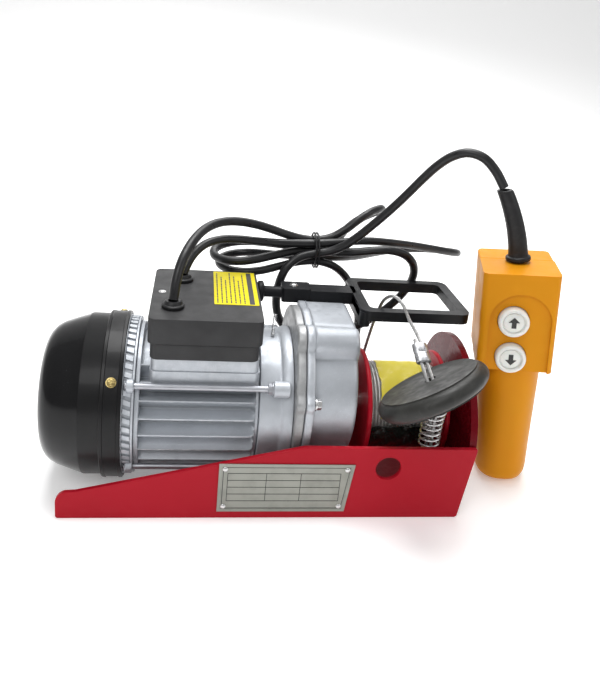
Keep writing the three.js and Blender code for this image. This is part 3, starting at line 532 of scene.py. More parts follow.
def plate_metal():
    s = Surface("plate_silver", (0.27, 0.275, 0.245), 0.36, 0.7)
    s.blotches((0.18, 0.185, 0.165), 0.6, 0.45, 0.75, 15, 5)
    s.shine(0.28, 0.46, 0.3, 0.7, 0.8, 3, (0.06, 1, 1))
    s.grain(0.012, 0.5, 0.4, 2, (0.06, 1, 1))
    return s.material


def clear_film():
    """Thin wrapping film: mostly see-through, with creases that catch the light."""
    s = Surface("clear_film", (0.45, 0.45, 0.40), 0.06, alpha=0.08, specular_ior_level=1.0)
    s.grain(0.9, 0.9, 9, 5, distortion=2.0).grain(0.2, 0.6, 3, 3)
    return s.material


# A black glossy film, used as dark wrapping and as painted shade on the low front of the winding.
def black_film_and_shade():
    s = Surface("black_film_and_shade", (0.006, 0.011, 0.009), 0.14, specular_ior_level=0.6)
    s.blotches((0.02, 0.035, 0.028), 0.7, 0.5, 0.75, 8, 5, distortion=2.0)
    s.shine(0.1, 0.3, 0.3, 0.75, 5, 4)
    s.grain(0.9, 0.8, 7, 4, distortion=2.0).grain(0.2, 0.6, 2.5, 3)
    return s.material


# ---------------------------------------------------------------- cords


def centripetal(points, per_span=24):
    """A centripetal Catmull-Rom curve through the points."""
    p = np.array(points, float)
    p = np.vstack([2 * p[0] - p[1], p, 2 * p[-1] - p[-2]])
    u = np.linspace(0, 1, per_span, endpoint=False)[:, None]
    spans = []
    for a, b, c, d in zip(p, p[1:], p[2:], p[3:]):
        ab, bc, cd = (max(float((q - o) @ (q - o)) ** 0.25, 1e-4) for o, q in ((a, b), (b, c), (c, d)))
        start = ((b - a) / ab - (c - a) / (ab + bc) + (c - b) / bc) * bc
        end = ((c - b) / bc - (d - b) / (bc + cd) + (d - c) / cd) * bc
        cubic = 2 * b - 2 * c + start + end
        square = 3 * c - 3 * b - 2 * start - end
        spans.append(cubic * u**3 + square * u**2 + start * u + b)
    return np.vstack(spans + [p[-2:-1]])


def spaced(curve, count):
    """Count + 1 points at even steps along a fine polyline."""
    steps = np.concatenate([[0], np.cumsum(np.linalg.norm(np.diff(curve, axis=0), axis=1))])
    wanted = np.linspace(0, steps[-1], count + 1)
    return np.stack([np.interp(wanted, steps, curve[:, k]) for k in range(3)], axis=1)


def length_of(curve):
    return float(np.linalg.norm(np.diff(np.array(curve, float), axis=0), axis=1).sum())


def centre_line(points, steps, easing=2):
    """A cable's centre line: even steps along its route, with every bend eased by its neighbours."""
    places = spaced(centripetal(points), steps)
    for _ in range(easing):
        places[1:-1] = (2 * places[1:-1] + places[:-2] + places[2:]) / 4
    return centripetal(places, 8)


MIDDLE_STRAND = -1


def strand(angle, way=1):
    """Where a strand of cable runs through the tie: at an angle round its middle, or in the middle."""
    reach = 0 if angle == MIDDLE_STRAND else TIE["pitch"]
    y = TIE["y"] + reach * cos(radians(angle))
    z = TIE["z"] + reach * sin(radians(angle))
    return [(TIE["x"] + way * step, y, z) for step in (-TIE["straight"], 0, TIE["straight"])]


PENDANT_ROUTE = [
    (-172, -30, 171.4), (-172.5, -29.5, 183), (-169, -22, 198), (-161, -3, 209), (-149, 26, 216),
    (-130, 48, 216.5), (-104, 66, 209), (-82, 76, 201), *strand(60), (-16, 84, 203), (-3, 86, 216),
    (11, 93, 223), (25, 108, 221), (28, 128, 212), (13, 140, 203), (-6, 129, 194), (-17, 107, 187),
    *strand(0, -1), (-80, 92, 182.5), (-98, 108, 179.5), (-117, 118, 176), (-137, 111, 172.5),
    (-144, 92, 170.5), (-136, 73, 169.5), (-115, 65.5, 171), (-86, 71, 177.5), *strand(MIDDLE_STRAND),
    (-12, 71, 182), (8, 65, 191), (30, 64, 193), (48, 68, 185), (57, 76, 167), (52, 85, 143),
    (32, 89, 118), (6, 88, 100), (-24, 87, 90), (-52, 82, 91), (-72, 74, 106), (-80, 66, 128),
    (-80, 62, 150), (-76, 61, 170), *strand(180), (-18, 63, 194), (0, 58, 214), (18, 53, 235),
    (32, 46, 256), (42, 38, 274), (53, 29, 290), (66, 21, 299.5), (79, 14.5, 297.5), (87, 11, 288.5),
    (92.6, 8.8, 278.8), (97.9, 7.3, 269.8),
]

MAINS_ROUTE = [
    (-166, 30, 171.4), (-165.5, 31, 181), (-160, 38, 191), (-148, 50, 196.5), (-124, 64, 196),
    (-94, 69, 190), *strand(120), (-12, 74, 197), (18, 80, 194), (54, 94, 188), (90, 106, 180),
    (112, 115, 175), (121, 135, 169), (113, 156, 165), (92, 165, 163), (62, 159, 163), (28, 135, 165),
    (-2, 106, 168.5), *strand(300, -1), (-77, 91, 171.5), (-92, 110, 167), (-110, 124, 163.5),
    (-131, 117, 161.5), (-139, 96, 160.5), (-130, 74, 160), (-108, 66.5, 160), (-82, 73, 164),
    *strand(240), (-18, 79, 165), (-3, 88, 146), (8, 97, 122), (13, 102, 95), (10, 102, 66),
    (0, 100, 40), (-18, 99, 19), (-44, 99, 7), (-84, 99, 4), (-134.5, 99, 4),
]

ROPE_ROUTE = [
    (3, 35.9, 82.1), (3, 34.6, 93), (3.2, 25, 118), (4.5, 13, 146), (8, 5.5, 165), (13.5, -3, 171.5),
    (19.5, -12, 167.5), (24, -20, 158), (29, -30, 149.8), (31.4, -41, 144), (33, -54, 136),
    (35.4, -65.4, 127.5), (37.8, -70.9, 120), (39.9, -74.4, 112.5), (42.2, -74.2, 105), (43.8, -69.4, 98),
    (44, -65.2, 91), (44, -64.9, 80), (44, -64.9, 56), (44, -63.9, 52.6), (44, -62, 50.7), (44, -60, 50.1),
    (44, -58, 50.7), (44, -56.1, 52.6), (44, -55.1, 56), (44, -55.1, 80), (43.6, -57, 90), (42, -62.4, 97.5),
    (39.6, -69.2, 104.5), (37, -71.6, 112), (33.6, -69.6, 120), (30.4, -64.4, 127.8), (28, -53.6, 136.3),
    (26.6, -41, 144.2), (26, -36.5, 147.2),
]

RUBBER = rubber("boot_rubber", (0.011, 0.011, 0.012), 0.4)
JACKET = cable_jacket()
PLUG_BLACK = plastic("plug_black", (0.012, 0.012, 0.013), 0.38)
BRIGHT = steel("bright_steel", (0.66, 0.66, 0.66), 0.26)
STRAND = rope_strands()
ALLOY = steel("ferrule_alloy", (0.60, 0.61, 0.63), 0.3, (1, 0.2, 1), 0.5)


def cable(name, points, steps, radius):
    """A cable as one open spline with a round section. Its points are in metres."""
    line = centre_line(points, steps)
    curve = bpy.data.curves.new(name, "CURVE")
    curve.dimensions = "3D"
    curve.bevel_depth = radius * MM
    curve.bevel_resolution = 5
    curve.use_fill_caps = True
    spline = curve.splines.new("POLY")
    spline.points.add(len(line) - 1)
    for point, place in zip(spline.points, line):
        point.co = (*(float(c) * MM for c in place), 1)
    spline.use_smooth = True
    curve.materials.append(JACKET)
    obj = bpy.data.objects.new(name, curve)
    scene.collection.objects.link(obj)
    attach(obj, "root")
    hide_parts(name)
    return obj, length_of(line) * MM


def mains_plug():
    """A moulded plug with a ribbed neck, a waisted grip and two round pins, lying on the floor."""
    x, y, _ = MAINS_ROUTE[-1]
    neck = [(0.3, 0), (0.3, 4.3)]
    for rib in range(5):
        at, r = 2 + 3.4 * rib, 4.6 + 0.35 * rib
        neck += [(at, r), (at + 0.3, r + 0.5), (at + 1.7, r + 0.5), (at + 2, r)]
    neck += [(20, 6.4), (23, 6.4), (23, 0)]
    rings = []
    for step, (half_y, half_z) in ((20, (9, 7.5)), (21, (11.5, 9)), (25, (14.2, 11)), (32, (15, 11.9)),
                                   (38, (13.4, 10.9)),
                                   (44, (13.4, 10.9)), (49, (15, 11.9)), (51, (15, 11.9)), (52, (14, 11))):
        outline = rounded_box(y - half_y, y + half_y, 12 - half_z, 12 + half_z, min(half_y, half_z) * 0.62, 6)
        rings.append([(x - step, u, v) for u, v in outline])
    shape = both(lathe(neck, (-1, 0, 0), (x, y, 8), 32), skin(rings))
    body = stand_in("mains_plug", shape, PLUG_BLACK, "black_rubber")
    pins = []
    for side in (-6.4, 6.4):
        sleeve = [(0, 0), (0, 2.2), (9, 2.2), (9.2, 1.9), (18.6, 1.9), (20, 0.8), (20, 0)]
        pins.append(lathe(sleeve, (-1, 0, 0), (x - 51.9, y + side, 12), 24))
    return [body, piece("mains_plug_pins", both(*pins), BRIGHT, replaces="mains_plug", slot="bright_steel")]


def wire_tie():
    """A plastic-covered wire wound twice round the bundle and twisted into a short tail."""
    turns = [(TIE["x"] - 2.6 + 5.2 * i / 96, TIE["y"] + 16.3 * cos(4 * pi * i / 96 - 0.9),
              TIE["z"] + 16.3 * sin(4 * pi * i / 96 - 0.9)) for i in range(97)]
    root = Vector(turns[0])
    tails = []
    for phase in (0, pi):
        path = []
        for i in range(25):
            t = i / 24
            spread = 1.0 if t < 0.7 else 1.0 + 7 * (t - 0.7)
            swing = Vector((cos(5 * pi * t + phase), 0, sin(5 * pi * t + phase))) * spread
            path.append(root + Vector((2.5 + 9 * t, -3 - 11 * t, -2 + 5 * t * t)) + swing)
        tails.append(tube(path, 0.8, 8))
    shape = both(tube(turns, 0.95, 8), *tails)
    return stand_in("cable_tie", shape, PLUG_BLACK, "black_rubber")


def laid_rope(line, across, count=6, wire=0.58, lay=17.0):
    """Strands laid round a core along a fine path."""
    pitch = length_of(line) / (len(line) - 1)
    points, pairs = frames(line)
    shapes = [tube(line, across - 2 * wire, 6)]
    for strand_number in range(count):
        path = []
        for i, (point, (a, b)) in enumerate(zip(points, pairs)):
            angle = 2 * pi * (i * pitch / lay + strand_number / count)
            path.append(point + (a * cos(angle) + b * sin(angle)) * (across - wire))
        shapes.append(tube(path, wire, 7))
    return both(*shapes)


def rope_lead():
    line = spaced(centripetal(ROPE_ROUTE), 280)
    rope = stand_in("rope_lead", laid_rope(line, ROPE_R), STRAND, "rope_steel", sharp=60)
    return rope, line


def ferrule():
    """A pressed alloy sleeve, oval across its two strands, with a groove between them and press marks."""
    start, end = Vector((28.9, -40.2, 144.8)), Vector((30.5, -55.2, 135.2))
    axis = (end - start).normalized()
    side = (Vector((1, 0, 0)) - axis * axis.x).normalized()
    up = axis.cross(side)
    span = (end - start).length
    rings = []
    for t, grow in ((0, 0.8), (0.02, 0.95), (0.06, 1), (0.46, 1), (0.48, 0.96), (0.52, 0.96), (0.54, 1),
                    (0.94, 1),
                    (0.98, 0.95), (1, 0.8)):
        ring = []
        for i in range(40):
            angle = 2 * pi * i / 40
            waist = 1 - 0.16 * abs(sin(angle)) ** 8
            wide, thick = 6.4 * grow * cos(angle), 4.3 * grow * sin(angle) * waist
            ring.append(start + axis * span * t + side * wide + up * thick)
        rings.append(ring)
    return stand_in("ferrule", skin(rings), ALLOY, "ferrule_metal", sharp=50)


def make_cords():
    pendant, pendant_length = cable("pendant_cable", PENDANT_ROUTE, 80, PENDANT_CABLE_R)
    mains, mains_length = cable("mains_lead", MAINS_ROUTE, 60, MAINS_R)
    plug = mains_plug()
    tie = wire_tie()
    rope, line = rope_lead()
    sleeve = ferrule()


make_cords()

# ---------------------------------------------------------------- frame

RED = red_paint()
SHADED_RED = shaded_red_paint()
SILVER_PLATE = plate_metal()
INK = print_ink()


def end_face(z):
    """x of the end plate's left face at a height."""
    return 68 + 8 * min(z, PLATE_TOP) / PLATE_TOP


def side_plate(name, y0):
    left, slope = -256, -72
    outline = [(left, 1.5), (left + 1.5, 0), (end_face(0) + 4, 0), (end_face(0) + 6.2, 1.2)]
    outline += [(end_face(PLATE_TOP) + 5.9, PLATE_TOP - 1), (end_face(PLATE_TOP) + 5, PLATE_TOP)]
    outline += arc(slope + 12, PLATE_TOP - 24, 24, 90, 103, 4) + [(left + 15, 24.6)]
    outline += [(u, v) for u, v in arc(left + 10, 14.5, 10, 105, 180, 8)]
    shape = prism([outline, circle(8, 48, 10.5, 48)], "y", y0, y0 + SHEET)
    return stand_in(name, shape, RED, "red_paint", bevel=0.9, segments=3)


def folded_edge():
    """The rounded folds where the web turns up into the two side plates."""
    shapes = []
    for y, way in ((FRONT + SHEET, 1), (BACK - SHEET, -1)):
        profile = [(y, 4.3), (y, 9)] + [(y + way * (5 - u), 9 - v) for u, v in arc(0, 0, 4.7, 0, 90, 6)]
        shapes.append(prism([profile], "x", -72, 67.5))
    return piece("web_folds", both(*shapes), RED, slot="red_paint")


def drum_end_plate():
    """The bent end plate, its top an arc, with the outer bearing's hole."""
    y0, y1 = FRONT + SHEET + 0.3, BACK - SHEET - 0.3
    rings = []
    levels = [0, 20, 45, 66, 68] + [55 + 75 * sin(radians(a)) for a in range(14, 90, 3)] + [129.9]
    for z in levels:
        reach = sqrt(max(75**2 - max(z - 55, 0) ** 2, 9))
        low, high = max(MIDDLE - reach, y0), min(MIDDLE + reach, y1)
        x = end_face(z)
        rings.append([(x, low, z), (x + 6, low, z), (x + 6, high, z), (x, high, z)])
    hole = drum_lathe([(60, 0), (60, 15.3), (90, 15.3), (90, 0)], 64)
    # The end plate takes the darker copy of the red enamel, as painted shade.
    return stand_in("drum_end_plate", skin(rings), SHADED_RED, "red_paint", bevel=0.9, segments=3,
                    cutters=[hole])


def nameplate():
    """A blank rating plate: a raised rim, plain ruled rows and four rivets, with no lettering."""
    face = FRONT - 0.15
    corners = [(-130, 7), (-25, 7), (-20, 52), (-130, 52)]
    inner = [(-127.5, 9.5), (-27.4, 9.5), (-22.8, 49.5), (-127.5, 49.5)]
    sheet = prism([corners], "y", face - 0.5, face)
    rim = prism([corners, inner], "y", face - 0.8, face - 0.4)
    stand_in("nameplate", both(sheet, rim), SILVER_PLATE, "plate_metal", bevel=0.15)
    rows = [block((-123, -31), (face - 0.62, face - 0.45), (z, z + 0.5)) for z in (17, 23.5, 30, 36.5, 43)]
    ends = [block((x, x + 0.5), (face - 0.62, face - 0.45), (17, 43.5)) for x in (-123, -92, -64, -31.5)]
    edge = prism([[(u * 0.985 - 1.1, v * 0.97 + 0.9) for u, v in inner],
                  [(u * 0.975 - 1.8, v * 0.95 + 1.5) for u, v in inner]], "y", face - 0.62, face - 0.45)
    piece("nameplate_rules", both(*rows, *ends, edge), INK, slot="plate_metal")
    rivets = []
    for x, z in ((-125, 12), (-30, 12), (-26, 47), (-125, 47)):
        rivets.append(lathe([(0.3, 0), (0.3, 2.2), (0.9, 2.1), (1.5, 1.5), (1.8, 0.8), (1.85, 0)],
                            (0, -1, 0), (x, face, z), 24))
    piece("nameplate_rivets", both(*rivets), BRIGHT, slot="plate_metal")


# ---------------------------------------------------------------- motor

CAST = cast_metal()
DULL_CAST = cast_metal("cast_grey", (0.30, 0.305, 0.31), 1.1)
GLOSS_BLACK = plastic("fan_cover_black", (0.0045, 0.0045, 0.005), 0.15, coat=0.08, lift=1.5)
SATIN_BLACK = plastic("lever_black", (0.009, 0.0095, 0.011), 0.4)
BOX_GREY = plastic("box_grey", (0.030, 0.030, 0.031), 0.5, grain=0.8, depth=0.05)
BRASS = brass()
DARK_STEEL = steel("dark_steel", (0.30, 0.30, 0.31), 0.4)
ZINC = steel("zinc_rod", (0.42, 0.43, 0.46), 0.4, dirt=0.1)


def matt_band(material, low, high):
    """Makes a surface matt beyond a place along the motor, by a given amount of added roughness, and leaves
    it glossy before it.
    """
    nodes, links = material.node_tree.nodes, material.node_tree.links
    shader = nodes["Principled BSDF"]
    split = nodes.new("ShaderNodeSeparateXYZ")
    links.new(nodes.new("ShaderNodeTexCoord").outputs["Object"], split.inputs["Vector"])
    mask = nodes.new("ShaderNodeMapRange")
    mask.inputs["From Min"].default_value = low * MM
    mask.inputs["From Max"].default_value = (low + 1.2) * MM
    links.new(split.outputs["X"], mask.inputs["Value"])
    more = nodes.new("ShaderNodeMath")
    more.operation = "MULTIPLY_ADD"
    more.inputs[1].default_value = high
    links.new(mask.outputs["Result"], more.inputs[0])
    links.new(shader.inputs["Roughness"].links[0].from_socket, more.inputs[2])
    links.new(more.outputs[0], shader.inputs["Roughness"])


def fan_cover():
    wall = 2.6
    outer = [(-207.7, 67.8), (-207.7, 69.6), (-208.2, 70.2), (-210.4, 70.4), (-210.8, 69.8), (-221.2, 69.8)]
    outer += [(-221.6, 70.4), (-223.8, 70.2), (-224.3, 69.6), (-224.3, 67.9), (-225, 67.6), (-239.6, 67.6)]
    outer += [(-241, 67.0), (-251, 63.6), (-260.5, 60.2), (-265.5, 57.6), (-269.3, 54.4), (-272.4, 50),
              (-273.8, 45.5)]
    outer += [(-274, 42), (-273.4, 40.8), (-273.4, 14), (-274, 12.5), (-274, 0)]
    inner = [(-271.4, 0), (-271.4, 45), (-268, 51.5), (-259.5, 57.4), (-240.5, 65), (-224.3 + wall, 65),
             (-221.7, 67.8)]
    slots = []
    for i in range(8):
        angle = radians(45 * i + 22.5)
        across, out = Vector((-sin(angle), cos(angle))) * 3, Vector((cos(angle), sin(angle)))
        corners = [out * 16 - across, out * 40 - across, out * 40 + across, out * 16 + across]
        slots.append(prism([[(c.x, MOTOR_Z + c.y) for c in corners]], "x", -276, -269))
    shape = motor_lathe(inner + outer, 144)
    cover = stand_in("fan_cover", shape, GLOSS_BLACK, "cover_plastic", cutters=slots, sharp=28)
    return cover


def cross_screw(name, place, axis, r, high, material, replaces=(), slot="bright_steel", body="root"):
    """A pan head with a cross recess, standing on a place, with a thin washer under it."""
    profile = [(0, 0), (0, r * 1.25), (0.35, r * 1.25), (0.4, r), (high * 0.45, r), (high * 0.8, r * 0.86)]
    profile += [(high, r * 0.55), (high * 1.04, 0)]
    head = lathe(profile, axis, place, 40)
    turn = along(axis, place)
    bars = []
    for wide, long in ((r * 0.13, r * 0.62), (r * 0.62, r * 0.13)):
        bars.append(moved(block((-wide, wide), (-long, long), (high * 0.5, high * 2)), turn))
    return piece(name, head, material, body, replaces, slot, cutters=bars)


def cover_screw(name, angle):
    y, z = around_motor(angle, 70.1)
    direction = (0, cos(radians(angle)), sin(radians(angle)))
    return cross_screw(name, (-216, y, z), direction, 3.2, 2.3, BRASS, name, "brass_plating")


TIE_RODS = {"front_top": 146.5, "front_low": 213.5, "back_top": 33.5, "back_low": 326.5}
TIE_ROD_R = 66


def ears(x0, x1, r):
    """The cast ears that the tie rods pass through."""
    shapes = []
    for angle in sorted(TIE_RODS.values()):
        y, z = around_motor(angle, TIE_ROD_R)
        profile = [(x0, 2.9), (x0, r - 0.8), (x0 + 0.8, r), (x1 - 0.8, r), (x1, r - 0.8), (x1, 2.9),
                   (x0, 2.9)]
        shapes.append(lathe(profile, (1, 0, 0), (0, y, z), 28))
    return shapes


RIM_BLOCKS = 58


def rear_end_shield():
    """The end shield behind the fan, with the slanted blocks that show as a silver ring beside the cover."""
    rim = [(-207.3, 60), (-221, 60), (-221, 67.2), (-207.3, 67.2), (-207.1, 64.6), (-200.6, 64.6),
           (-200.4, 66)]
    rim += [(-198.7, 66), (-198.7, 15.3), (-211, 15.3), (-211, 12), (-215, 12), (-215, 20), (-204.3, 22),
            (-204.3, 60)]
    rim.append(rim[0])
    blocks = []
    for i in range(RIM_BLOCKS):
        start = 360 / RIM_BLOCKS * i
        rings = []
        for x, lead in ((-206.9, 0), (-200.7, 1.5)):
            corners = [(start + lead + step, r) for step, r in ((0.3, 64.2), (0.5, 66.3), (3.9, 66.3),
                    (4.1, 64.2))]
            rings.append([(x, *around_motor(angle, r)) for angle, r in corners])
        blocks.append(skin(rings))
    shape = both(motor_lathe(rim), *blocks, *ears(-205, -198.7, 5.5))
    return stand_in("rear_end_shield", shape, CAST, "cast_metal", bevel=0.3)


FIN_COUNT = 27
PEDESTAL_REACH = 36


def fin_height(angle):
    """0 in a scooped valley and 1 on a fin's narrow top, with a plain band under the terminal box."""
    pitch = 360 / FIN_COUNT
    middle = (angle + 90) % pitch - pitch / 2
    if abs((angle - 90 + 180) % 360 - 180) < PEDESTAL_REACH:
        return 0.25
    near = abs(middle) / (pitch / 2)
    return 1.0 if near < 0.11 else 0.97 if near < 0.14 else 0.78 * (1 - (near - 0.14) / 0.86) ** 1.9


FIN_ROOT = 50.5


def motor_housing():
    """The finned shell, its fins ending in rounded shoulders before a plain ring, and the box's pedestal."""
    steps = [(-pi + 2 * pi * i / 756) for i in range(756)]
    heights = [fin_height(degrees(a)) for a in steps]

    def ring(x, body, fin):
        return [(x, (body + (fin - body) * h) * cos(a), MOTOR_Z + (body + (fin - body) * h) * sin(a))
                for a, h in zip(steps, heights)]

    rings = [ring(x, r, r) for x, r in ((-198.4, 55), (-198.4, 61.6), (-198, 62), (-195.4, 62), (-195, 61.6))]
    rings += [ring(-194.8, FIN_ROOT, 61.7), ring(-194.3, FIN_ROOT, 62), ring(-108, FIN_ROOT, 62)]
    rings += [ring(-105.6, FIN_ROOT + 0.6, 61.6), ring(-104, FIN_ROOT + 2, 60.4),
              ring(-103, FIN_ROOT + 3.4, 58.4)]
    rings.append(ring(-102.6, 55.5, 55.6))
    rings += [ring(x, r, r) for x, r in ((-102.6, 55.6), (-100.6, 55.6), (-100, 55), (-100, 48),
                                         (-198.4, 48))]
    shell = skin(rings + [rings[0]], caps=False)
    stand = prism([rounded_box(-187, -102, -50, 50, 5)], "z", 104, 129.8)
    step = prism([rounded_box(-188, -101, -51, 51, 5)], "z", 104, 119)
    return stand_in("motor_housing", both(shell, stand, step), CAST, "cast_metal", bevel=0.35)


def front_end_shield():
    cup = [(-99.7, 50), (-99.7, 58.4), (-99.1, 59), (-84, 59)] + arc(-84, 63.4, 4.4, 270, 318, 6)
    cup = [(u, min(v, 62)) for u, v in cup] + [(-76, 62), (-72.8, 62), (-72.3, 61.5), (-72.3, 15.3)]
    cup += [(-80.3, 15.3), (-80.3, 50), (-99.7, 50)]
    lugs = ears(-90, -76.5, 6.5)
    return stand_in("front_end_shield", both(motor_lathe(cup), *lugs), CAST, "cast_metal", bevel=0.3)


def tie_rod(name, angle):
    y, z = around_motor(angle, TIE_ROD_R)
    shank = [(-206.5, 0), (-206.5, 1.8), (-205.9, 2.5), (-76.6, 2.5), (-76.5, 0)]
    rod = lathe(shank, (1, 0, 0), (0, y, z), 28)
    nut = hexagon(-94.2, -90.2, 4.6, y, z)
    washer = lathe([(-90.1, 0), (-90.1, 5.4), (-90.9, 5.4), (-91, 0)][::-1], (1, 0, 0), (0, y, z), 32)
    return stand_in(name, both(rod, nut, washer), ZINC, "bright_steel", bevel=0.25)


# ---------------------------------------------------------------- gearbox


def reach(angle, shapes):
    """How far a ray from the gearbox's centre goes before it leaves every circle (y, z, r) it meets."""
    out = 0.0
    for y, z, r in shapes:
        dy, dz = y, z - BOX_Z
        along_ray = dy * cos(angle) + dz * sin(angle)
        off = dy * sin(angle) - dz * cos(angle)
        if abs(off) < r:
            out = max(out, along_ray + sqrt(r * r - off * off))
    return out


RIDGE = [(-31, 139, 13)]
DECK = [(y, 144.5, 6) for y in range(-18, 29, 2)]
BOLTS = {"front": 168, "back": 12, "low": 270}
BOLT_CIRCLE = 64
BOSSES = [(BOLT_CIRCLE * cos(radians(a)), BOX_Z + BOLT_CIRCLE * sin(radians(a)), 7.2) for a in BOLTS.values()]


def gear_outline(shapes, grow=0.0, count=360, ease=3):
    """The rounded outline of the shapes together, as (y, z) points."""
    angles = [2 * pi * i / count for i in range(count)]
    far = np.array([reach(a, shapes) for a in angles])
    for _ in range(ease):
        far = (np.roll(far, 1) + 2 * far + np.roll(far, -1)) / 4
    return [((r + grow) * cos(a), BOX_Z + (r + grow) * sin(a)) for r, a in zip(far, angles)]


def circle_by_angle(y, z, r, count=360):
    return [(y + r * cos(2 * pi * i / count), z + r * sin(2 * pi * i / count)) for i in range(count)]


def at(x, outline):
    return [(x, y, z) for y, z in outline]


def gearbox_cover():
    """The rough left half of the flange joint, with the motor's round seat in it."""
    shapes = [(0, BOX_Z, 67.4), *BOSSES, (-31, 139, 14)]
    outer = [(-72, -1.6), (-71.2, -0.5), (-70.2, 0), (-65.4, 0), (-64.8, -0.5), (-64.5, -1.4)]
    rings = [at(x, gear_outline(shapes, grow)) for x, grow in outer]
    bore = circle_by_angle(0, MOTOR_Z, 9)
    rings += [at(-64.5, bore), at(-72, bore)]
    shape = skin(rings + [rings[0]], caps=False)
    return stand_in("gearbox_cover", shape, DULL_CAST, "cast_metal")


def gearbox_housing():
    """The round gearbox with its ridge, its flat deck and its flange, open on the side of the cover."""
    flange = [(0, BOX_Z, 67.4), *BOSSES, (-31, 139, 14), *[(y, z, r + 0.6) for y, z, r in DECK]]
    barrel = [(0, BOX_Z, 59.2), *RIDGE, *DECK]
    steps = [(-64, -1.4, flange), (-63.7, -0.5, flange), (-63.1, 0, flange), (-58.4, 0, flange),
             (-57.4, -0.7, flange)]
    rings = [at(x, gear_outline(shapes, grow)) for x, grow, shapes in steps]
    barrel_steps = ((-57.2, 0.9), (-56.4, 0.3), (-55, 0), (-24, -0.2), (-22, -0.7), (-20.7, -1.7),
                    (-20, -3.4))
    rings += [at(x, gear_outline(barrel, grow)) for x, grow in barrel_steps]
    rings += [at(-20, circle_by_angle(0, DRUM_Z, 20)), at(-20, circle_by_angle(0, DRUM_Z, 15.3))]
    rings += [at(-25, circle_by_angle(0, DRUM_Z, 15.3)), at(-25, circle_by_angle(0, BOX_Z, 56.5))]
    rings += [at(-64, circle_by_angle(0, BOX_Z, 56.5))]
    feet = [block((-64, -20), (y - 11, y + 11), (4.3, 40)) for y in (-38, 38)]
    shape = both(skin(rings + [rings[0]], caps=False), *feet)
    return stand_in("gearbox_housing", shape, CAST, "cast_metal", sharp=40)


def gearbox_bolt(name, angle):
    y, z = BOLT_CIRCLE * cos(radians(angle)), BOX_Z + BOLT_CIRCLE * sin(radians(angle))
    washer = lathe([(-56.8, 0), (-56.8, 5.4), (-55.9, 5.4), (-55.9, 0)], (1, 0, 0), (0, y, z), 32)
    spring_washer = lathe([(-55.9, 0), (-55.9, 4.6), (-54.9, 4.6), (-54.9, 0)], (1, 0, 0), (0, y, z), 32)
    head = hexagon(-54.9, -51.4, 4.6, y, z)
    return stand_in(name, both(washer, spring_washer, head), BRIGHT, "bright_steel", bevel=0.3)


def bearing(name, x0, z):
    """A sealed ball bearing: two races with a dished seal between them."""
    loop = [(0, 7), (0, 9.2), (0.5, 9.5), (0.7, 12.6), (0, 13), (0, 14.6), (0.4, 15), (9.6, 15),
            (10, 14.6), (10, 13)]
    loop += [(9.3, 12.6), (9.5, 9.5), (10, 9.2), (10, 7), (0, 7)]
    return stand_in(name, lathe([(x0 + h, r) for h, r in loop], (1, 0, 0), (0, 0, z), 64), BRIGHT,
                    "bright_steel")


# ---------------------------------------------------------------- drum

PAPER = label_paper()
FILM = clear_film()
DARK_WRAP_AND_SHADE = black_film_and_shade()


def drum():
    profile = [(-7.2, 8.3), (-7.2, 47.2), (-6.4, 48.3), (-5.2, 48.5), (-3.6, 48.1), (-3.2, 47.2), (-3.2, 28)]
    profile += [(61, 28), (61, 47.2), (61.8, 48.3), (63, 48.5), (64.4, 48.1), (65, 47.2), (65, 8.3),
                (-7.2, 8.3)]
    return stand_in("drum", drum_lathe(profile, 128), RED, "red_paint", "drum")


def rope_winding():
    """The rope's top layer, laid turn by turn at its own pitch, over a plain core for the layers below."""
    low, high = -1.3, 59.3
    turns = (high - low) / (2 * ROPE_R + 0.1)
    path = helix((0, 0, DRUM_Z), (1, 0, 0), WINDING_R - ROPE_R - 0.1, low, high, turns, 56)
    inside = WINDING_R - 2.8
    core = drum_lathe([(-2.9, 28.3), (-2.9, inside), (60.7, inside), (60.7, 28.3), (-2.9, 28.3)])
    return stand_in("rope_winding", both(tube(path, ROPE_R, 8), core), STRAND, "rope_steel", "drum", sharp=60)


def creased(theta, x, seed=0.0):
    """A crumple that repeats round the drum, in millimetres."""
    folds = sin(3 * theta + 0.31 * x + seed) * sin(0.23 * x + 2 * theta) * 0.8
    return folds + 0.5 * sin(11 * theta - 0.35 * x + seed) + 0.35 * sin(17 * theta + 0.8 * x) * sin(5 * theta)


def wrapped_sheet(low, high, start, end, base, thick, lift, rows, columns, ragged=0.0):
    """A thin sheet lying round the winding between two angles, creased, with slightly uneven ends."""
    rings = []
    for i in range(rows + 1):
        theta = radians(start + (end - start) * i / rows)
        wave = ragged * (sin(7 * theta) + 0.5 * sin(19 * theta))
        outer, inner = [], []
        for j in range(columns + 1):
            x = low + wave + (high - low - wave * 0.6) * j / columns
            r = base + thick + lift * (0.5 + 0.5 * creased(theta, x) / 1.4)
            direction = Vector((0, sin(theta), cos(theta)))
            outer.append(Vector((x, 0, DRUM_Z)) + direction * r)
            inner.append(Vector((x, 0, DRUM_Z)) + direction * (r - thick))
        rings.append(outer + inner[::-1])
    return skin(rings)


def rope_label():
    shape = wrapped_sheet(7, 49.5, -82, 18, WINDING_R + 0.15, 0.35, 0.6, 60, 40, 0.7)
    return stand_in("rope_label", shape, PAPER, "yellow_label", "drum", sharp=70)


def rope_film():
    """Clear film over the rope and its label, ending before the place where the rope leaves the drum."""
    shape = wrapped_sheet(-2.2, 60, -168, 46, WINDING_R + 1, 0.15, 1.9, 130, 46)
    return piece("rope_film", shape, FILM, "drum", slot="white_plastic", sharp=80)


def dark_wrap_and_shade():
    """Black film round the low front of the winding, below the stop disc: a dark wrapping sheet that also
    stands as painted shade there.
    """
    shape = wrapped_sheet(-1.5, 52, -158, -92, WINDING_R + 1.2, 0.15, 2.2, 60, 46, 1.2)
    return piece("dark_wrap_and_shade", shape, DARK_WRAP_AND_SHADE, "drum", slot="black_rubber", sharp=80)


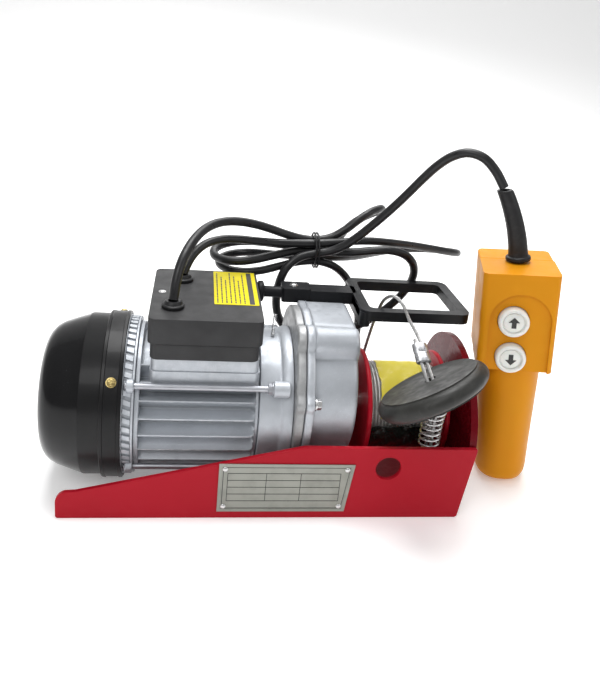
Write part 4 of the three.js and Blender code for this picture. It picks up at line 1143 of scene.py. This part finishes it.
def drum_shaft():
    profile = [(-48, 0), (-48, 8), (-33, 8), (-33, 6.7), (-18, 6.7), (-18, 8), (66, 8), (66, 6.7),
               (87, 6.7), (88, 5.9), (88, 0)]
    return stand_in("drum_shaft", drum_lathe(profile, 48), BRIGHT, "bright_steel", "drum")


# ---------------------------------------------------------------- terminal box


def terminal_box():
    """The base and the lid, with a hole in the lid for each cable."""
    base = prism([rounded_box(-188, -103, -53, 56, 6)], "z", 130, 143.6)
    stand_in("terminal_box_base", base, BOX_GREY, "box_plastic", bevel=0.8, segments=3)
    holes = [lathe([(155, 0), (155, 6.2), (175, 6.2), (175, 0)], (0, 0, 1), (x, y, 0), 32) for x,
             y in GROMMETS]
    lid = prism([rounded_box(-190, -101, -55, 58, 6)], "z", 144, 165)
    stand_in("terminal_box_lid", lid, BOX_GREY, "box_plastic", bevel=1.4, segments=4, cutters=holes)
    cross_screw("lid_screw", (-182, 2, 164.9), (0, 0, 1), 2.4, 1.2, BRIGHT)


GROMMETS = ((-172, -30), (-166, 30))


def grommet(name, x, y):
    profile = [(160, 4.1), (160, 5.8), (165.1, 5.8), (165.1, 8.6), (165.6, 9), (167.4, 9), (168, 8.5),
               (168.4, 7.4)]
    profile += [(169.4, 7.1), (169.8, 6.7), (170.6, 6.4), (171, 5.9), (171, 4.1), (160, 4.1)]
    return stand_in(name, lathe(profile, (0, 0, 1), (x, y, 0), 48), RUBBER, "black_rubber")


LID_TOP = 165
INK_LEVELS = (LID_TOP + 0.25, LID_TOP + 0.36)
ROWS, ROW_PITCH, ROW_WIDE, GAP = 7, 3.7, 1.1, 0.9
DASHES = (2.6, 4.4, 1.8, 3.4, 5.2)


def box_label():
    """The lid's yellow label: a black band and broken ruled rows, with no lettering."""
    sheet = prism([rounded_box(-139.5, -103, -21, 55, 1, 3)], "z", LID_TOP + 0.02, LID_TOP + 0.3)
    piece("box_label", sheet, PAPER, slot="yellow_label")
    shapes = [block((-110.6, -106.4), (-19.5, 53.5), INK_LEVELS)]
    for row in range(ROWS):
        x = -137.2 + ROW_PITCH * row
        start, last = -18.0, 50 - 9 * (row % 3)
        mark = 0
        while start < last:
            size = DASHES[(mark + 2 * row) % len(DASHES)]
            shapes.append(block((x, x + ROW_WIDE), (start, start + size), INK_LEVELS))
            start += size + GAP
            mark += 1
    piece("box_label_rules", both(*shapes), INK, slot="yellow_label")


# ---------------------------------------------------------------- limit lever


def limit_lever():
    """A rounded loop on an arm with a counterweight, and the knobbed spindle that it tilts on."""
    front, back, left, right, top, wide = -8, 74, -14, 84, 158.5, 9
    window = rounded_box(left + wide, right - wide, front + wide, back - wide, 5)
    loop = prism([rounded_box(left, right, front, back, 9), window], "z", top - wide, top)
    side = prism([rounded_box(left, left + wide, front + 1, back - 1, 4)], "z", top - 15, top - 2)
    arm = prism([rounded_box(-58, left + 4, 34, 52, 2.5)], "z", top - 10.5, top)
    heavy = prism([rounded_box(-78, -52, 33.5, 52.5, 2.5)], "z", top - 11.5, top + 1.5)
    web = block((-55, left + 2), (41, 45), (top - 14, top - 9))
    stand_in("limit_lever", both(loop, side, arm, heavy, web), SATIN_BLACK, "lever_plastic", "lever",
             bevel=2.6, segments=5)
    spindle = [(-107, 0), (-107, 4.4), (-106.4, 5), (-100, 5), (-100, 7.6), (-99.2, 9), (-98.4, 9.5)]
    spindle += [(-95.6, 9.5), (-94.8, 9), (-94, 7.4), (-94, 5.6), (-92.5, 5), (-77, 5), (-77, 0)]
    piece("lever_spindle", lathe(spindle, (1, 0, 0), (0, 43, 153), 48), SATIN_BLACK, "lever",
          "limit_lever", "lever_plastic")
    cross_screw("lever_screw", (-67, 43, 160), (0, 0, 1), 3, 1.8, BRIGHT, body="lever")


def lever_spring():
    low, high = Vector((-88, -4, 131.6)), Vector((-86, 6, 147))
    coil = helix(low, high - low, 1.5, 0, (high - low).length, 17, 12)
    return stand_in("lever_spring", tube(coil, 0.28, 6), BRIGHT, "bright_steel", sharp=70)


# ---------------------------------------------------------------- hook line

DISC_RUBBER = rubber("disc_rubber", (0.022, 0.022, 0.020), 0.42, 0.1)


def stop_disc():
    """The rubber disc: rounded rim, slightly dished faces with a lip, and a hole that widens downwards."""
    r, half = DISC["r"], DISC["t"] / 2
    outer = [(half - 1.1, 16), (half - 1.2, 30), (half - 0.7, 37), (half - 0.1, 40.5)]
    outer += [(v, u + r - 7.5) for u, v in arc(0, 0, 7.5, 78, -78, 16)]
    outer += [(-half + 0.1, 40.5), (-half + 0.7, 37), (-half + 0.9, 20)]
    turn = along(DISC_NORMAL, (DISC["x"], DISC["y"], DISC["z"]))
    entry = turn.inverted() @ Vector((33.2, -64.9, 128))
    rings = []
    for i in range(120):
        angle = 2 * pi * i / 120
        ring = [((half - 0.6), entry.x * 0.9 + 5.6 * cos(angle), entry.y * 0.9 + 4.6 * sin(angle))]
        ring += [(h, radius * cos(angle), radius * sin(angle)) for h, radius in outer]
        ring += [(-half, DISC["hole"] * cos(angle), DISC["hole"] * sin(angle))]
        rings.append([turn @ Vector((x, y, h)) for h, x, y in ring])
    return stand_in("stop_disc", skin(rings + [rings[0]], caps=False), DISC_RUBBER, "disc_rubber", "disc",
                    sharp=50)


def buffer_spring():
    coil = []
    turns, steps = 8, 240
    for i in range(steps + 1):
        t = i / steps
        angle = 2 * pi * turns * t
        coil.append((HOOK_X - t**4 + 8.4 * cos(angle), HOOK_Y - 8 * t**4 + 8.4 * sin(angle), 61.5 + 41.5 * t))
    spring = stand_in("buffer_spring", tube(coil, 0.9, 10), BRIGHT, "dark_steel", sharp=70)
    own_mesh(spring)
    return spring


def hook():
    """A forged hook: a flat round eye, a neck, a bowl that thickens at its bottom, and a blunt point."""
    eye = lathe([(-2.7, 4.9), (-2.2, 4.7), (2.2, 4.7), (2.7, 4.9), (2.7, 7.4), (2.2, 8), (-2.2, 8),
                 (-2.7, 7.4), (-2.7, 4.9)],
                (0, 1, 0), (HOOK_X, HOOK_Y, 52), 48)
    path = [(44, HOOK_Y, 45.4), (43.4, HOOK_Y, 42), (40, HOOK_Y, 38.6)]
    path += [(41 + 13 * cos(radians(a)), HOOK_Y, 22 + 13 * sin(radians(a))) for a in range(126, 366, 12)]
    path += [(54.3, HOOK_Y, 25), (55, HOOK_Y, 28)]
    radii = []
    for i in range(len(path)):
        t = i / (len(path) - 1)
        r = 3.4 + 0.9 * sin(pi * min(1, t * 1.1)) if t < 0.86 else 3.6 - 9 * (t - 0.86)
        radii.append((r, r))
    return stand_in("hook", both(eye, tube(path, radii, 24)), BRIGHT, "bright_steel", "hook")


def hook_latch():
    plate = prism([[(49.9, 44), (52.7, 44), (55.9, 29.2), (53.1, 28.5)]], "y", HOOK_Y - 3, HOOK_Y + 3)
    return stand_in("hook_latch", plate, BRIGHT, "bright_steel", "latch", bevel=0.5)


# ---------------------------------------------------------------- pendant

ORANGE = orange_plastic()
WHITE = white_plastic()
STAND = (Matrix.Translation(Vector(PENDANT["place"])) @ Matrix.Rotation(radians(PENDANT["yaw"]), 4, "Z")
         @ Matrix.Rotation(radians(PENDANT["lean"]), 4, "Y"))
SEAM = 6
SEAM_GAP = 0.15
HEAD_HALF, HEAD_BOTTOM, HEAD_TOP = 31.5, 118, 205.8
BUTTON_X = -4
BUTTONS = {"up_button": (164, 1), "down_button": (131, -1)}


def half_section(z, half_width, deep, front, power):
    """One half of the grip's rounded section, from the seam out to the front or to the back."""
    points = []
    for i in range(33):
        angle = pi * i / 32
        x = half_width * (1 if cos(angle) > 0 else -1) * abs(cos(angle)) ** (2 / power)
        out = deep * abs(sin(angle)) ** (2 / power)
        points.append((x, (SEAM - SEAM_GAP - out) if front else (SEAM + SEAM_GAP + out), z))
    return points


def grip(front):
    levels = [(0.2, 15), (1.2, 18.6), (3.6, 21.6), (7.5, 23.2), (13, 23.9), (40, 24.6), (80, 26),
              (112, 27.2), (118.6, 27.4)]
    rings = []
    for z, half_width in levels:
        trim = half_width / 27.4
        rings.append(half_section(z, half_width, (40 if front else 28.5) * trim, front, 2.5))
    return skin(rings)


def head(front):
    """One half of the head, its outer corners rounded, from the seam out to the front or to the back."""
    if front:
        loop = arc(-26.5, -32, 5, 180, 270, 8) + arc(26.5, -32, 5, 270, 360, 8)
        loop += [(HEAD_HALF, SEAM - SEAM_GAP), (-HEAD_HALF, SEAM - SEAM_GAP)]
    else:
        loop = [(-HEAD_HALF, SEAM + SEAM_GAP), (HEAD_HALF, SEAM + SEAM_GAP)]
        loop += arc(26.5, 32, 5, 0, 90, 8) + arc(-26.5, 32, 5, 90, 180, 8)
    return prism([loop], "z", HEAD_BOTTOM, HEAD_TOP)


def pendant_shells():
    """The two shells: a squared head with an arched recess for the buttons, and a rounded grip."""
    arch = [(-24, 112), (27, 112)] + arc(1.5, 163, 25.5, 0, 180, 32)
    recess = prism([arch], "y", -45, -34.2)
    for front, name in ((True, "pendant_front"), (False, "pendant_back")):
        cutters = [moved(recess, STAND)] if front else []
        for z, _ in BUTTONS.values() if front else ():
            hole = lathe([(30, 0), (30, 13.3), (45, 13.3), (45, 0)], (0, -1, 0), (BUTTON_X, 0, z), 48)
            cutters.append(moved(hole, STAND))
        stand_in(name, moved(head(front), STAND), ORANGE, "pendant_plastic", bevel=1.6, segments=4,
                 cutters=cutters)
        piece(name + "_grip", moved(grip(front), STAND), ORANGE, replaces=name, slot="pendant_plastic",
              bevel=0.4, sharp=50)
    nub = lathe([(-2.2, 0), (-2.0, 2.2), (-1.2, 3.2), (2, 3.6), (2, 0)], (0, 0, 1), (0, -4, 0.4), 24)
    piece("pendant_nub", moved(nub, STAND), ORANGE, slot="pendant_plastic")
    for number, place in enumerate(((-22, 36.6, 192), (22, 36.6, 192), (0, 33.0, 30))):
        outwards = STAND.to_3x3() @ Vector((0, 1, 0))
        cross_screw(f"pendant_screw_{number}", STAND @ Vector(place), outwards, 2.6, 1.6, BRIGHT)


def arrow(z, way):
    """A plain arrow that points up or down."""
    points = [(0, 5.2), (4.6, 0.6), (1.9, 0.6), (1.9, -4.4), (-1.9, -4.4), (-1.9, 0.6), (-4.6, 0.6)]
    return prism([[(BUTTON_X + u, z + way * v) for u, v in points]], "y", -40.6, -39.6)


def button(name, z, way):
    """A white push button: a raised rim, a groove, and a cap with an arrow on it."""
    profile = [(29.4, 0), (29.4, 12.7), (39.4, 12.7), (40.4, 12.2), (41, 11.2), (41, 10.2), (40.4, 9.4)]
    profile += [(38.8, 9.0), (38.8, 8.5), (39.4, 8.3), (39.9, 7.2), (40.1, 4), (40.1, 0)]
    cap = lathe(profile, (0, -1, 0), (BUTTON_X, 0, z), 64)
    stand_in(name, moved(cap, STAND), WHITE, "white_plastic", name)
    piece(name + "_arrow", moved(arrow(z, way), STAND), INK, name, slot="black_rubber")


def pendant_boot():
    """The smooth rubber boot, bending over with the cable's pull, more and more towards its tip."""
    profile = [(-4, 4.1), (-4, 5.8), (0.2, 5.8), (0.2, 10.2), (0.7, 10.6), (2.8, 10.6), (3.5, 10.2)]
    profile += [(4.2, 8.8), (6, 8.3)] + [(9 + 4 * i, 8.25 - 0.1 * i) for i in range(13)]
    profile += [(60.6, 6.9), (61.6, 6.6), (62, 6.1), (62, 4.1)]
    profile += [(60 - 4 * i, 4.1) for i in range(16)] + [(-4, 4.1)]
    vertices, faces = lathe(profile, (0, 0, 1), (0, 0, 0), 48)
    bent = [(x - BOOT["bend"] * (max(z, 0) / BOOT["top"]) ** 2, y, z) for x, y, z in vertices]
    place = STAND @ Matrix.Translation((0, 0, PENDANT["height"] + BOOT["lift"]))
    place = place @ Matrix.Rotation(radians(BOOT["lean"]), 4, "Y")
    return stand_in("pendant_boot", moved((bent, faces), place), RUBBER, "black_rubber")


# ---------------------------------------------------------------- carried-over CAD nodes


def keep(node, material, bevel=0.3):
    """A CAD node whose shape is right: a new material, and its edges eased."""
    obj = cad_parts[node]
    obj.data.materials.clear()
    obj.data.materials.append(material)
    modifier = obj.modifiers.new("bevel", "BEVEL")
    modifier.width = bevel * MM
    modifier.limit_method = "ANGLE"
    modifier.angle_limit = radians(40)


def carried_over():
    copper_wire = copper()
    keep("mounting_web", RED, 0.6)
    for node in ("stator_core", "rotor_core"):
        keep(node, DARK_STEEL)
    keep("stator_windings", copper_wire)
    for node in ("rotor_shaft", "intermediate_gear", "intermediate_pinion", "output_gear"):
        keep(node, BRIGHT, 0.15)
    keep("cooling_fan", SATIN_BLACK, 0.3)
    keep("capacitor", WHITE)
    keep("limit_switch", SATIN_BLACK)
    keep("pendant_switch_block", SATIN_BLACK)


# ---------------------------------------------------------------- the whole hoist


def make_hoist():
    side_plate("front_side_plate", FRONT)
    side_plate("back_side_plate", BACK - SHEET)
    folded_edge()
    drum_end_plate()
    nameplate()
    fan_cover()
    matt_band(GLOSS_BLACK, -241, 0.22)
    cover_screw("cover_screw_front", 145)
    cover_screw("cover_screw_back", 55)
    rear_end_shield()
    motor_housing()
    front_end_shield()
    for name, angle in TIE_RODS.items():
        tie_rod("tie_rod_" + name, angle)
    gearbox_cover()
    gearbox_housing()
    for name, angle in BOLTS.items():
        gearbox_bolt("gearbox_bolt_" + name, angle)
    bearing("rear_bearing", -209.5, MOTOR_Z)
    bearing("front_bearing", -82, MOTOR_Z)
    bearing("output_bearing", -30, DRUM_Z)
    bearing("drum_end_bearing", 74, DRUM_Z)
    drum()
    rope_winding()
    rope_label()
    rope_film()
    dark_wrap_and_shade()
    drum_shaft()
    terminal_box()
    for name, (x, y) in zip(("front_grommet", "back_grommet"), GROMMETS):
        grommet(name, x, y)
    box_label()
    limit_lever()
    lever_spring()
    stop_disc()
    buffer_spring()
    hook()
    hook_latch()
    pendant_shells()
    for name, (z, way) in BUTTONS.items():
        button(name, z, way)
    pendant_boot()
    carried_over()


make_hoist()

# ---------------------------------------------------------------- floor and light


def floor_and_light():
    mesh = bpy.data.meshes.new("floor")
    far, rise, steps = 6.0, 2.5, 24
    profile = [(-far, 0.0), (1.2, 0.0)]
    for i in range(1, steps + 1):
        angle = pi / 2 * i / steps
        profile.append((1.2 + rise * sin(angle), rise - rise * cos(angle)))
    profile += [(1.2 + rise, 6.0)]
    vertices = [(x, y, z) for y, z in profile for x in (-far, far)]
    faces = [(2 * i, 2 * i + 1, 2 * i + 3, 2 * i + 2) for i in range(len(profile) - 1)]
    mesh.from_pydata(vertices, [], faces)
    for face in mesh.polygons:
        face.use_smooth = True
    floor = bpy.data.objects.new("floor", mesh)
    scene.collection.objects.link(floor)
    s = Surface("pale_floor", (0.93, 0.93, 0.93), 0.8, emission_strength=0.22, emission_color=(1, 1, 1, 1))
    s.shine(0.7, 0.85, 0.3, 0.7, 300, 3)
    mesh.materials.append(s.material)
    world = bpy.data.worlds.new("studio")
    scene.world = world
    world.use_nodes = True
    world.node_tree.nodes["Background"].inputs["Color"].default_value = (1, 1, 1, 1)
    world.node_tree.nodes["Background"].inputs["Strength"].default_value = 0.36
    lamps = (
        ("key", (-0.9, -1.3, 1.7), 1.1, 16), ("fill", (1.5, -0.9, 1.1), 1.2, 6), ("top", (-0.1, 0.4, 1.9),
                1.2, 38),
        ("back", (0.3, 1.6, 1.5), 1.4, 14),
    )
    for name, place, size, power in lamps:
        lamp = bpy.data.lights.new(name, "AREA")
        lamp.size = size
        lamp.energy = power
        obj = bpy.data.objects.new(name, lamp)
        obj.location = place
        obj.rotation_euler = (Vector((-0.05, 0, 0.1)) - Vector(place)).to_track_quat("-Z", "Y").to_euler()
        scene.collection.objects.link(obj)


floor_and_light()
scene.view_settings.view_transform = "Standard"
